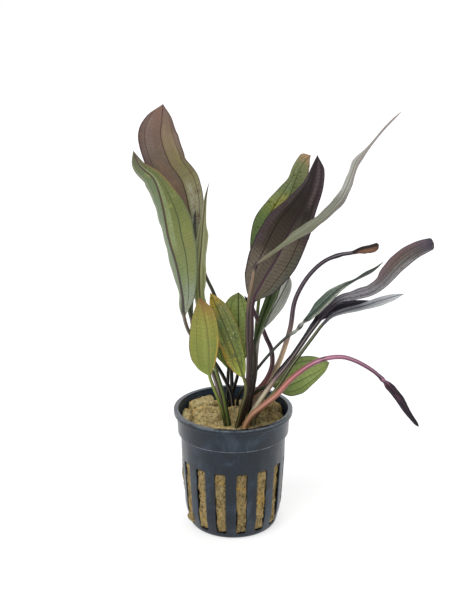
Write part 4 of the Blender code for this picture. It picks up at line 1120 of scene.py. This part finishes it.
# The long twisted leaf: a silver-green strap that turns on edge as it bends out to the upper
# right, with purplish margins and a pink thread of a tip. Its stalk is light brown.
long_twisted = grow_leaf(
    "long_twisted_leaf", blade_from=9, stalk=(1, 0.8), seed=7, wave_length=20,
    swellings=((0.995, 0.5, 1.2),), rib=0.6,
    route=((2.4, -6.2, 47), (3.5, -8.2, 54), (4.5, -8.6, 60), (5.8, -9, 66.5), (6.6, -9.3, 74),
        (6.8, -9.6, 84), (6.3, -11.5, 98.5), (6.9, -13.5, 112.5), (8.3, -15, 121), (9.8, -16, 129),
        (13.4, -17, 132.2), (20, -18, 137.5), (26.4, -18.5, 142.6), (32.6, -18.5, 146.8),
        (39.1, -18, 151.8), (44.5, -17, 157.5), (47.5, -16, 163), (49.5, -15, 168), (51.5, -13.5, 173),
        (57.2, -10, 179), (64, -7.5, 186.7), (71.1, -5, 193.3)),
    widths=((0.06, 1, 1), (0.15, 2.7, 2.7), (0.24, 4.2, 4.2), (0.33, 5.2, 5.2), (0.42, 5, 5),
        (0.5, 4.5, 4.5), (0.57, 4.2, 4.2), (0.64, 3.2, 3.2), (0.7, 2.9, 2.9), (0.76, 1.6, 1.6),
        (0.82, 1, 1), (0.9, 0.9, 0.9), (0.95, 0.7, 0.7)),
    lifts=((0, -50, 50), (0.1, -80, 80), (0.45, -80, 80), (0.58, -72, 72), (0.65, -72, 72), (0.78, -81, 81),
        (1, -76, 76)))
paint_leaf(
    long_twisted, midrib="#747862", edge="#5b4c50", vein="#60654f", cross=0.12, midrib_width=(0.35, 0.2),
    edge_width=0.07, stalk_highlight="#6b5a58", stalk_shade="#1c1315",
    stalk=((0, "#3a2a22"), (0.3, "#33241f"), (0.72, "#38282a"), (0.85, "#7a664c"), (0.96, "#8a745a"),
        (0.985, "#2f2320"), (1, "#241a19")),
    left=((0, "#4f4038"), (0.06, "#6e6550"), (0.14, "#82846a"), (0.3, "#7b7c69"), (0.48, "#7d7e74"),
        (0.56, "#b3b3ad"), (0.72, "#a5a19d"), (0.85, "#aa9d9f"), (1, "#a88790")),
    right=((0, "#4f4038"), (0.06, "#62583f"), (0.14, "#75775a"), (0.3, "#70725c"), (0.48, "#77776e"),
        (0.56, "#a8a6a0"), (0.72, "#988f8c"), (0.85, "#a59596"), (1, "#a88790")),
    strips=((-0.45, 0.12, 0.3, 0.95, "#a9a9a0", 0.8), (0.3, 0.1, 0.35, 0.9, "#b3b3ac", 0.8),
        (0.7, 0.16, 0.36, 0.8, "#6b5a55", 0.6), (-0.8, 0.14, 0.5, 0.95, "#b9b6b2", 0.7),
        (-0.65, 0.06, 0.1, 0.5, "#585c46", 0.7), (0.06, 0.1, 0.25, 0.8, "#57534a", 0.6)))
hand_over(long_twisted, "leaf_long_twisted")


# The folded leaf behind the purple one's foot: dark green, its halves lifted like a keel.
centre_folded = grow_leaf(
    "centre_folded_leaf", blade_from=4, stalk=(0.85, 0.75), seed=8, lifts=((0, 40, 40),), wave=0.4,
    route=((6, -0.4, 47), (7.5, -2.2, 58), (9.2, -2.5, 68), (10, -2, 80), (9.7, -1.5, 88), (12.3, -1.5, 98),
        (15.5, -0.5, 107), (18, 2, 113.5), (21, 5, 121), (24, 9, 127)),
    widths=((0.23, 1.9, 2.2), (0.45, 3, 3.3), (0.64, 3.3, 3.5), (0.84, 2.2, 2.3)))
paint_leaf(
    centre_folded, midrib="#222816", edge="#303522", vein="#232d18", cross=0.4, shine=0.22,
    stalk_highlight="#5f5848",
    stalk=((0, "#211813"), (0.6, "#2a2019"), (1, "#33301f")),
    left=((0, "#333d25"), (0.5, "#3d4c2a"), (1, "#414c2e")),
    right=((0, "#3a4729"), (0.5, "#485a33"), (1, "#4b5836")),
    # painted highlight: the light line along the right half near its margin
    strips=((0.8, 0.1, 0.1, 0.95, "#8a9478", 0.8), (0.5, 0.06, 0.1, 0.95, "#6f7c58", 0.7),
        (-0.6, 0.08, 0.2, 0.9, "#5f6d48", 0.6)))
hand_over(centre_folded, "leaf_centre_folded")


# The small silver leaf right of it: a shining blade whose near-white is painted silvery reflection, with
# one dark vein.
centre_silver = grow_leaf(
    "centre_silver_leaf", blade_from=5, stalk=(0.8, 0.6), seed=9, lifts=((0, -10, 20),), rib=0.5,
    veins=(0.55,),
    route=((7.2, 4.6, 47), (8.6, 4.7, 59.5), (10.5, 5, 71), (11, 4.5, 82), (12, 4, 90), (14, 3.5, 94.5),
        (17, 4, 101), (21, 5, 108), (24, 6, 114), (25.5, 6, 118)),
    widths=((0.25, 2.8, 2.8), (0.5, 3.8, 3.6), (0.75, 3.6, 3.3), (0.92, 2, 1.9)))
paint_leaf(
    centre_silver, midrib="#4d5046", edge="#8f9086", vein="#6f7268", cross=0.15, veins=(0.55, -0.5),
    midrib_width=(0.6, 0.3), net=0.12, rough=0.34,
    stalk=((0, "#2a1f1c"), (0.6, "#6b6258"), (1, "#9a988c")),
    # painted reflection: the near-white of both halves and the light strip on the left
    left=((0, "#a9aaa0"), (0.5, "#c6c7c1"), (1, "#bcbdb6")),
    right=((0, "#9c9d92"), (0.5, "#b5b7ae"), (1, "#aeafa8")),
    strips=((0.35, 0.1, 0, 0.8, "#7b7f70", 0.7), (-0.6, 0.15, 0.1, 0.9, "#d8d8d4", 0.8)))
hand_over(centre_silver, "leaf_centre_silver")


# The front yellow leaf: yellow-green with two lateral veins, an orange margin at the right and a
# brownish-orange tip, on a yellow-green stalk.
front_yellow = grow_leaf(
    "front_yellow_leaf", blade_from=5, stalk=(0.9, 0.7), seed=10, lifts=((0, -5, 10),), wave_length=19,
    veins=(0.42, 0.76),
    route=((-3, -9.6, 47), (-3.6, -10.2, 52.5), (-4.6, -11, 58.5), (-6.5, -12.5, 65.5), (-9, -14, 73),
        (-10.5, -15, 78.5), (-10.5, -16, 87), (-11, -17.5, 97.5), (-12.5, -18.5, 108), (-14.5, -19, 115.5)),
    widths=((0.08, 5.2, 1.9), (0.2, 8, 3.1), (0.36, 8.7, 4.3), (0.51, 8.2, 5), (0.65, 7, 5.2),
        (0.79, 5.2, 4.8), (0.91, 2.6, 2.6)))
paint_leaf(
    front_yellow, edge="#6f5a40", vein="#5c5f2e", cross=0.5, cross_gap=2.1, veins=(-0.6, 0.62),
    vein_width=0.022, midrib_width=(0.55, 0.25), edge_width=0.03, net=0.2, blotch="#96903f", rough=0.45,
    stalk_shade="#1c1a12",
    stalk=((0, "#2c331c"), (0.3, "#3f4a22"), (0.42, "#6a7436"), (0.7, "#7c873e"), (1, "#7f8c3c")),
    left=((0, "#748135"), (0.3, "#7c8538"), (0.6, "#85893c"), (0.82, "#8a8339"), (0.95, "#876c35"),
        (1, "#70472b")),
    right=((0, "#727e34"), (0.4, "#7d8439"), (0.65, "#888637"), (0.85, "#907536"), (1, "#72482b")),
    strips=((0.9, 0.14, 0.08, 0.5, "#c0963a", 0.85), (-0.9, 0.12, 0.1, 0.6, "#8a8a3c", 0.6),
        (0.2, 0.1, 0.2, 0.8, "#929a4c", 0.6), (-0.2, 0.12, 0.15, 0.7, "#949a4e", 0.6)),
    midrib=((0, "#6c7434"), (0.6, "#6f6a36"), (1, "#7a5530")))
hand_over(front_yellow, "leaf_front_yellow")


# The spotted leaf behind it: blotched green and yellow, an orange tip and lower margin, a dark
# streak, and an olive stalk that stands in front at the base.
front_spotted = grow_leaf(
    "front_spotted_leaf", blade_from=5, stalk=(1.2, 0.7), seed=11, lifts=((0, -10, 0),), wave=0.5,
    wave_length=12,
    route=((0.8, -9.6, 47), (2.2, -10.8, 53.5), (4, -12, 62), (5.5, -12.5, 68), (5.6, -12.3, 73),
        (4.6, -11.2, 76), (1, -9, 86.5), (-3, -9, 97.5), (-6.5, -9.5, 106.5), (-10, -10, 115)),
    widths=((0.1, 4, 2.6), (0.27, 5.8, 4), (0.55, 6, 5.5), (0.7, 5.2, 5.2), (0.8, 3.8, 4.6),
        (0.91, 2, 2.6)))
paint_leaf(
    front_spotted, midrib="#4d4d22", edge="#8a6f2c", vein="#3f4a22", cross=0.5, net=0.35, blotch="#55602f",
    blotch_at=(0.5, 0.66), spots=("#b9c29a", 760, 0.12), stalk_highlight="#6c6840", stalk_shade="#1f1b10",
    stalk=((0, "#2c2619"), (0.35, "#38331f"), (0.7, "#4a4626"), (1, "#646029")),
    left=((0, "#8c9c3c"), (0.25, "#8f8838"), (0.45, "#7a7e34"), (0.65, "#647548"), (0.85, "#a3903c"),
        (1, "#c2a040")),
    right=((0, "#7f8f3c"), (0.3, "#6f7c3a"), (0.6, "#757f42"), (0.8, "#80804a"), (0.92, "#a8903c"),
        (1, "#c2a040")),
    strips=((-0.9, 0.16, 0.05, 0.5, "#a87c2c", 0.8), (0.88, 0.2, 0.05, 0.4, "#8f9c3c", 0.8),
        (-0.35, 0.14, 0.2, 0.6, "#3f4a24", 0.7), (-0.7, 0.2, 0.55, 0.85, "#9a8a34", 0.6)))
hand_over(front_spotted, "leaf_front_spotted")


# The green leaf with a round tip behind them: dark midrib and clear cross veins.
front_green = grow_leaf(
    "front_green_leaf", blade_from=4, stalk=(0.85, 0.75), seed=12, lifts=((0, 0, -5),),
    route=((-2.2, 10.4, 47), (-1.6, 10.8, 54.5), (-0.2, 10.6, 60), (2, 7.5, 69.5), (2.7, 5, 76),
        (2.7, 3, 86), (2.4, 1.5, 98.5), (2.3, 1, 106), (2.4, 1, 112)),
    widths=((0.1, 3.2, 3.2), (0.28, 5.8, 5.8), (0.45, 7.2, 7), (0.63, 7.6, 7), (0.83, 6.2, 4.6),
        (0.94, 3.6, 2.4)))
paint_leaf(
    front_green, midrib="#303a1d", edge="#3f4828", vein="#45552a", cross=0.55, cross_gap=2.1,
    midrib_width=(0.6, 0.3), edge_width=0.03, net=0.35, stalk_highlight="#5f6048",
    stalk=((0, "#0f0d0e"), (0.7, "#191616"), (1, "#33331f")),
    left=((0, "#8f9f4f"), (0.5, "#93a553"), (0.85, "#8c9b55"), (1, "#75784a")),
    right=((0, "#8b9a4e"), (0.5, "#97a85a"), (0.85, "#8d9c56"), (1, "#727446")),
    strips=((0.3, 0.2, 0.3, 0.8, "#a3b46c", 0.6), (-0.6, 0.2, 0.3, 0.85, "#9eac62", 0.5)))
hand_over(front_green, "leaf_front_green")


# The low front leaf: mostly hidden by the yellow and the spotted one.
front_low = grow_leaf(
    "front_low_leaf", blade_from=5, stalk=(0.8, 0.7), seed=13,
    route=((-3.8, 6.6, 47), (-3.2, 8.6, 55), (-2.8, 9.6, 60), (-2.5, 9, 66.5), (-2.4, 5.5, 72),
        (-2.2, 2, 75.5), (-3.7, -1, 84.5), (-6.4, -3, 93.5), (-8.8, -4, 101)),
    widths=((0.12, 2.4, 2.4), (0.32, 4.4, 4.2), (0.6, 4.6, 4.6), (0.85, 2.6, 2.6)))
paint_leaf(
    front_low, midrib="#455020", edge="#5c602d", vein="#3f4a20", cross=0.4, net=0.4, stalk_highlight="#5a5c48",
    stalk=((0, "#0f0d0e"), (0.7, "#171515"), (1, "#33361b")),
    left=((0, "#70843a"), (0.6, "#7f903e"), (1, "#8c8f42")),
    right=((0, "#687a36"), (0.6, "#778839"), (1, "#86883d")))
hand_over(front_low, "leaf_front_low")


# The arched stalk with the withered leaf: cream and tan low down, purple above, ending in a small
# crumpled brown blade with a black upper edge.
arched_withered = grow_leaf(
    "arched_withered_leaf", blade_from=12, stalk=(1.45, 0.85), seed=14, wave=0.5, wave_length=5,
    swellings=((0.93, 0.25, 2),), rib=1.2, crumple=0.35, veins=(),
    route=((8.2, 8.4, 47), (10.3, 8.6, 56), (13.5, 9.4, 60.5), (17.3, 10.4, 67), (21, 10.4, 74),
        (24, 10, 83), (26.5, 10, 92.5), (28, 9, 104.5), (31, 8, 112.5), (35.5, 6, 120), (41.5, 4, 126),
        (48.5, 3, 129), (53, 2, 130), (57, 1.5, 132), (61, 1, 133), (64.5, 0.5, 134)),
    widths=((0.2, 0.9, 1.6), (0.45, 0.9, 2.8), (0.75, 1, 2.8), (0.93, 1.2, 2)))
paint_leaf(
    arched_withered, midrib="#18110f", edge="#4a3226", vein="#4a3226", cross=0.35, veins=(), net=0.4,
    streaks=0.5, stalk_highlight="#9a8c98",
    stalk=((0, "#b0906c"), (0.18, "#dac09c"), (0.38, "#d0b08c"), (0.46, "#80665a"), (0.55, "#4a3740"),
        (0.75, "#3d303c"), (0.9, "#221b24"), (1, "#151118")),
    left=((0, "#191317"), (0.5, "#141012"), (1, "#17110f")),
    right=((0, "#2c1f1c"), (0.25, "#6a4836"), (0.5, "#785440"), (0.85, "#6c4a36"), (1, "#3c2a20")),
    strips=((0.5, 0.2, 0.2, 0.8, "#937058", 0.6), (0.12, 0.14, 0.1, 1, "#2a1d18", 0.8)))
hand_over(arched_withered, "leaf_arched_withered")


# The narrow green leaf at the right: dark bluish green above, with a painted silver highlight along its
# lower margin, and a crumpled sheath painted with silver highlights where the blade leaves the dark stalk.
right_green = grow_leaf(
    "right_green_leaf", blade_from=8, stalk=(0.75, 0.6), seed=15, wave_length=14,
    swellings=((0.97, 0.9, 1.6), (0.9, 0.5, 1)),
    route=((3, 11.4, 47), (1.9, 11, 54), (3, 9.5, 59.5), (6, 6.2, 65.5), (9.2, 1.8, 72.5), (16.7, -1, 83.5),
        (23.5, -4, 92), (28.5, -6, 96.5), (31, -6.5, 100), (34.5, -7, 104), (39, -7.5, 109),
        (44, -7.5, 114), (49, -7, 117.5), (53, -6.5, 119.5), (57.5, -6, 122), (62, -5.5, 124.5),
        (66.2, -5, 128)),
    widths=((0.12, 1.3, 2.2), (0.25, 2.5, 3.1), (0.37, 2.5, 2.8), (0.48, 1.8, 2), (0.58, 1.1, 1.1),
        (0.67, 0.6, 0.6), (0.8, 1, 0.9), (0.91, 0.5, 0.5)),
    lifts=((0, -10, 50), (0.5, -10, 58), (1, 0, 20)))
paint_leaf(
    right_green, midrib="#26332a", edge="#5f6d60", vein="#2d3d32", cross=0.4, veins=(-0.5,),
    midrib_width=(0.45, 0.2), net=0.3, rough=0.32, stalk_highlight="#6a6d64", stalk_shade="#100e0e",
    # painted highlights: the silver bands at the sheath, from 0.93
    stalk=((0, "#16120f"), (0.5, "#252420"), (0.86, "#33342f"), (0.93, "#b9bab0"), (0.96, "#22211f"),
        (1, "#a9aca2")),
    # painted highlight: the pale grey at the blade's foot, where the sheath is
    left=((0, "#9a9f94"), (0.04, "#2a2c2a"), (0.1, "#4c5c4e"), (0.3, "#4a5a4c"), (0.5, "#737a70"),
        (0.62, "#4c504b"), (1, "#373937")),
    right=((0, "#b5b8b0"), (0.05, "#3a3d38"), (0.1, "#4f5f51"), (0.35, "#4f5f50"), (0.52, "#6c746b"),
        (0.65, "#444945"), (1, "#303131")),
    # painted highlights: the light strips at 0.8 and -0.85, along the margins
    strips=((0.8, 0.3, 0.1, 0.56, "#b5b3a6", 0.95), (-0.85, 0.14, 0.42, 0.6, "#a9b0a2", 0.8),
        (-0.5, 0.1, 0.12, 0.5, "#7d8b7f", 0.7), (0.3, 0.08, 0.1, 0.5, "#26332c", 0.7),
        (-0.2, 0.1, 0.08, 0.4, "#8f9a8e", 0.7)))
hand_over(right_green, "leaf_right_green")


# The long bronze leaf at the far right: brown-purple with a silvery base that is creased along its length,
# painted highlights along its right margin, and a blunt tip. Its stalk is pinkish grey, cream at the foot.
right_bronze = grow_leaf(
    "right_bronze_leaf", blade_from=8, stalk=(1.25, 0.9), seed=16, wave=0.4, wave_length=17,
    veins=(0.38, 0.7),
    route=((6.3, -5.4, 47), (7, -5.6, 53), (9.8, -6.4, 58.5), (13.5, -7, 65), (19, -7.5, 73.5),
        (23.5, -8, 79.5), (27.8, -8, 86), (33.8, -7, 95), (37.6, -6, 100), (41.5, -4.8, 105.5),
        (47.3, -4, 110.5), (54, -3, 112.2), (61, -2, 114), (66, -1, 117.5), (70, 0, 122), (75, 1.5, 127),
        (80.5, 3, 130.5), (85.4, 4.5, 132.2), (89.8, 6, 133.4)),
    widths=((0.09, 1.6, 1.4), (0.2, 2.2, 1.8), (0.32, 3, 2.6), (0.43, 3.7, 2.8), (0.53, 4.2, 3.1),
        (0.63, 4.8, 3.7), (0.74, 5, 4), (0.84, 4.1, 3.6), (0.93, 3.5, 3), (0.985, 2.8, 2.4)),
    lifts=((0, 20, 20), (0.35, 38, 30), (0.7, 20, 30), (1, 5, 20)))
paint_leaf(
    right_bronze, edge="#3f343f", vein="#33292f", cross=0.22, veins=(-0.38, 0.4, 0.7),
    midrib_width=(0.4, 0.2), net=0.3, blotch="#6b5a58", shine=0.2, rough=0.36, streaks=0.6,
    stalk_shade="#6b6250",
    stalk=((0, "#d2caa2"), (0.2, "#dcd4b0"), (0.32, "#cfc4a4"), (0.4, "#a89082"), (0.5, "#664f56"),
        (0.62, "#3a3036"), (0.75, "#241e28"), (1, "#201b26")),
    left=((0, "#2c2630"), (0.2, "#3a3540"), (0.3, "#827f86"), (0.46, "#8a8588"), (0.55, "#74686a"),
        (0.68, "#6b5b58"), (0.8, "#645552"), (0.93, "#58505a"), (1, "#383340")),
    right=((0, "#2c2630"), (0.18, "#45414a"), (0.28, "#8e8e93"), (0.5, "#8c8c8e"), (0.7, "#74716b"),
        (0.85, "#605c58"), (0.95, "#4c4550"), (1, "#2c2732")),
    strips=((0, 0.12, 0.2, 0.45, "#c8c7ca", 0.9), (-0.55, 0.1, 0.2, 0.45, "#a3a3aa", 0.7),
        (-0.8, 0.08, 0.05, 0.5, "#3d3440", 0.8), (0.55, 0.1, 0.05, 0.6, "#4a4048", 0.8),
        # painted highlights: the light strips at 0.68 and 0.8, along the shiny right margin
        (0.28, 0.07, 0.5, 0.95, "#3f353b", 0.7), (0.68, 0.07, 0.2, 0.8, "#b9b9bb", 0.7),
        (0.8, 0.1, 0.3, 0.95, "#9a9a9c", 0.7), (-0.8, 0.18, 0.5, 0.9, "#7a5c5e", 0.7),
        (-0.15, 0.2, 0.6, 0.85, "#736456", 0.7)),
    midrib=((0, "#2f2832"), (0.15, "#3d3640"), (0.24, "#aeabad"), (0.42, "#a09c9e"), (0.55, "#5f5257"),
        (1, "#3a313a")),
    stalk_highlight=((0, "#f0ead0"), (0.34, "#e4dcc0"), (0.5, "#a0948a"), (1, "#98908c")))
hand_over(right_bronze, "leaf_right_bronze")


# The silver leaf under it: pale and shining towards its tip, dark purple on its upper side near
# the stalk.
right_silver = grow_leaf(
    "right_silver_leaf", blade_from=8, stalk=(1, 0.7), seed=17, wave=0.35, wave_length=12, rib=0.8,
    route=((9.2, -6, 47), (9.8, -7.4, 54.5), (12, -9, 59), (15.3, -10.2, 64.5), (19.5, -10.5, 70),
        (25.5, -11, 80.5), (29.7, -10.5, 86.5), (36.2, -9.5, 95.5), (39.4, -9, 99.8), (43.8, -8.5, 103.9),
        (49, -8, 105.8), (54.5, -7.5, 107), (59.5, -7.5, 108.6), (65, -7, 110.4), (70, -6.5, 111.8),
        (75.5, -6, 113.3)),
    widths=((0.12, 0.9, 0.9), (0.3, 1.2, 1.4), (0.5, 1.5, 1.9), (0.7, 1.8, 2.5), (0.85, 1.5, 2),
        (0.94, 0.8, 0.9)),
    lifts=((0, -20, 40), (0.4, -30, 58), (1, -30, 50)))
paint_leaf(
    right_silver, midrib="#4c4a52", edge="#94979a", vein="#55555c", cross=0.15, veins=(-0.3, 0.5),
    shine=0.12, rough=0.38, streaks=0.6, stalk_highlight="#8f9468", stalk_shade="#191815",
    stalk=((0, "#a3977a"), (0.2, "#6a6650"), (0.5, "#43432f"), (0.8, "#353630"), (1, "#242128")),
    left=((0, "#17131d"), (0.3, "#1c1822"), (0.48, "#2c2733"), (0.6, "#85888c"), (0.8, "#a8acae"),
        (1, "#bcc1c4")),
    right=((0, "#5a585c"), (0.2, "#787a7a"), (0.5, "#868988"), (0.7, "#acb0b1"), (1, "#c0c5c7")),
    # painted highlights: the light lines at -0.5 and -0.8 are glints on the glossy dark upper side, and the
    # one at 0.75 lies along the shiny lower margin
    strips=((-0.5, 0.1, 0.05, 0.6, "#a3a4ac", 0.8), (-0.8, 0.08, 0.2, 0.8, "#a9abb0", 0.8),
        (0.35, 0.1, 0.1, 0.8, "#5f6462", 0.7), (0.75, 0.1, 0.2, 0.9, "#b3b6b7", 0.8)))
hand_over(right_silver, "leaf_right_silver")


# The dark leaf between the two: glossy, nearly black purple, on a black stalk.
right_dark = grow_leaf(
    "right_dark_leaf", blade_from=7, stalk=(0.9, 0.95), seed=18, lifts=((0, -10, 20),),
    route=((9, -1.6, 47), (10, -3, 57.5), (13.5, -3.8, 64.5), (19, -4.5, 73.5), (24.3, -5, 81),
        (27, -5, 84.5), (33, -4.5, 94), (36.3, -3, 99), (40, -1.5, 102), (45, 0, 104.2), (50.5, 1, 105.8),
        (56, 1, 106.8), (63.3, 1, 108)),
    widths=((0.2, 2.2, 2.2), (0.4, 2.9, 2.8), (0.6, 2, 2.2), (0.8, 1.3, 1.4)))
paint_leaf(
    right_dark, midrib="#121018", edge="#3a3644", vein="#0f0d14", cross=0.2, rough=0.25,
    stalk_highlight="#4a4858",
    stalk=((0, "#3a2c28"), (0.3, "#18141a"), (1, "#131019")),
    left=((0, "#100e16"), (0.5, "#17141e"), (1, "#2e2a36")),
    right=((0, "#100e16"), (0.5, "#1c1823"), (1, "#36323e")),
    # painted highlights: the two light lines on the glossy blade
    strips=((-0.5, 0.08, 0.1, 0.9, "#7c7c8a", 0.7), (0.4, 0.08, 0.1, 0.9, "#4c4955", 0.7)))
hand_over(right_dark, "leaf_right_dark")


# The low green leaf at the right: fresh green with two lateral veins and clear cross veins.
low_green = grow_leaf(
    "low_green_leaf", blade_from=4, stalk=(0.85, 0.8), seed=19, lifts=((0, -8, 10),), wave_length=18,
    veins=(0.4, 0.72),
    route=((3.4, 3, 47), (6.4, 1.5, 58), (8.7, 1, 62.5), (12.5, 0.5, 65.5), (17, 0, 68), (23.5, -0.5, 71),
        (30.5, -1, 74.5), (38, -1, 77), (44, -0.5, 79)),
    widths=((0.05, 1.9, 2.9), (0.1, 3.3, 5.2), (0.17, 4.8, 7.5), (0.25, 5.9, 9), (0.38, 6.8, 9.6),
        (0.51, 7, 8.9), (0.65, 6.6, 7.3), (0.78, 5.4, 5.3), (0.91, 2.8, 3)))
paint_leaf(
    low_green, midrib="#8a9854", edge="#4a4028", vein="#465728", cross=0.4, cross_gap=2.3,
    veins=(-0.62, 0.4, 0.75), midrib_width=(0.45, 0.22), edge_width=0.025, net=0.2,
    stalk=((0, "#15120f"), (0.6, "#17140f"), (1, "#37401f")),
    left=((0, "#586733"), (0.3, "#6c7d42"), (0.6, "#7f9050"), (0.9, "#80904e"), (1, "#4c4a2c")),
    right=((0, "#5d6d37"), (0.3, "#788a47"), (0.6, "#8a9b56"), (0.9, "#84924e"), (1, "#4c4a2c")),
    strips=((0.9, 0.12, 0.1, 0.9, "#6c7c3c", 0.6), (0.25, 0.14, 0.2, 0.8, "#97a65c", 0.6),
        (-0.3, 0.14, 0.3, 0.8, "#93a258", 0.6)))
hand_over(low_green, "leaf_low_green")


# The drooping new leaf: a salmon-pink stalk that arches over to the right and hangs, with dark
# rings, a pink node, and a rolled black-purple blade streaked with pink.
drooping_new = grow_leaf(
    "drooping_new_leaf", blade_from=13, stalk=(1.5, 0.8), seed=20, lifts=((0, 30, 30),), wave=0.35,
    wave_length=7, swellings=((0.985, 0.45, 1.3), (0.62, 0.12, 1)), rib=1.1, crumple=0.2,
    route=((4.4, -9, 47), (5.6, -10.8, 52.5), (8.5, -12, 58), (13.5, -13, 63), (19.5, -14.5, 69),
        (24.5, -15.5, 75.5), (30, -16.5, 81), (35.5, -17, 85), (42, -17.5, 87.5), (48, -18, 88),
        (53, -18, 86.5), (58, -18.5, 84), (62.5, -19, 81), (66.5, -19, 77), (72.5, -19.5, 70.5),
        (77.5, -20, 62.5), (82.5, -20.5, 56)),
    widths=((0.12, 2.2, 1.9), (0.4, 2.1, 2.1), (0.75, 1.4, 1.3), (0.93, 0.9, 0.9)))
paint_leaf(
    drooping_new, midrib="#18131a", edge="#2c222c", vein="#18131a", cross=0.2, net=0.2, shine=0.25,
    rough=0.34, streaks=0.5,
    stalk=((0, "#9c7850"), (0.12, "#a47c5a"), (0.24, "#9c6c58"), (0.36, "#a46656"), (0.46, "#9a5456"),
        (0.56, "#874a56"), (0.62, "#93586c"), (0.645, "#3c232b"), (0.67, "#9c6078"), (0.8, "#7a4b60"),
        (0.93, "#5a3547"), (0.965, "#22141d"), (0.985, "#8a5570"), (1, "#281922")),
    left=((0, "#7d4a62"), (0.08, "#33202c"), (0.4, "#1c161f"), (1, "#201a22")),
    right=((0, "#9a6478"), (0.08, "#3d2533"), (0.4, "#231d28"), (1, "#262029")),
    strips=((-0.2, 0.12, 0, 0.7, "#8a5a70", 0.7), (0.55, 0.1, 0.3, 0.9, "#5c4656", 0.6),
        (0.1, 0.3, 0.3, 0.42, "#a06880", 0.9), (-0.3, 0.3, 0, 0.08, "#b07a8e", 0.8)),
    stalk_highlight=((0, "#c8a084"), (0.4, "#c89088"), (0.62, "#c49aaa"), (0.85, "#b087a0"), (1, "#a07890")),
    stalk_shade=((0, "#6c4c38"), (0.4, "#6c3c3c"), (0.62, "#6a3a50"), (1, "#3c2232")))
hand_over(drooping_new, "leaf_drooping_new")


# The dark curved stalk: it has lost its leaf, and ends in a black stub. Pink stripes run along
# its upper part.
dark_curved = grow_leaf(
    "dark_curved_stalk", blade_from=11, stalk=(1.3, 0.95), seed=21, widths=((0.5, 0.8, 0.8),), wave=0,
    swellings=((0.86, 0.3, 1.6),), rib=1.3, veins=(),
    route=((4.2, 7, 47), (5.4, 7.3, 56), (8.6, 7.5, 59.5), (12.5, 7.5, 63.5), (16, 7.5, 68.5),
        (18, 7.5, 74), (18.2, 8, 78.5), (17.5, 8, 83), (15.5, 8, 87.5), (13.5, 8, 92.5), (10.5, 8, 98.5),
        (8, 7, 104), (5, 6, 109)))
paint_leaf(
    dark_curved, left=((0, "#231a1e"), (1, "#100c0e")), right=((0, "#231a1e"), (1, "#100c0e")),
    midrib="#151013", edge="#151013", vein="#151013", cross=0, veins=(), net=0, shine=0.25, rough=0.35,
    streaks=0.7, stalk_highlight="#8a6a70",
    stalk=((0, "#8f5f50"), (0.2, "#9a6a5c"), (0.36, "#84504c"), (0.48, "#5a3a40"), (0.6, "#392730"),
        (0.7, "#2b1c25"), (0.84, "#54364a"), (0.92, "#4a3542"), (1, "#3c2c36")))
hand_over(dark_curved, "stalk_dark_curved")
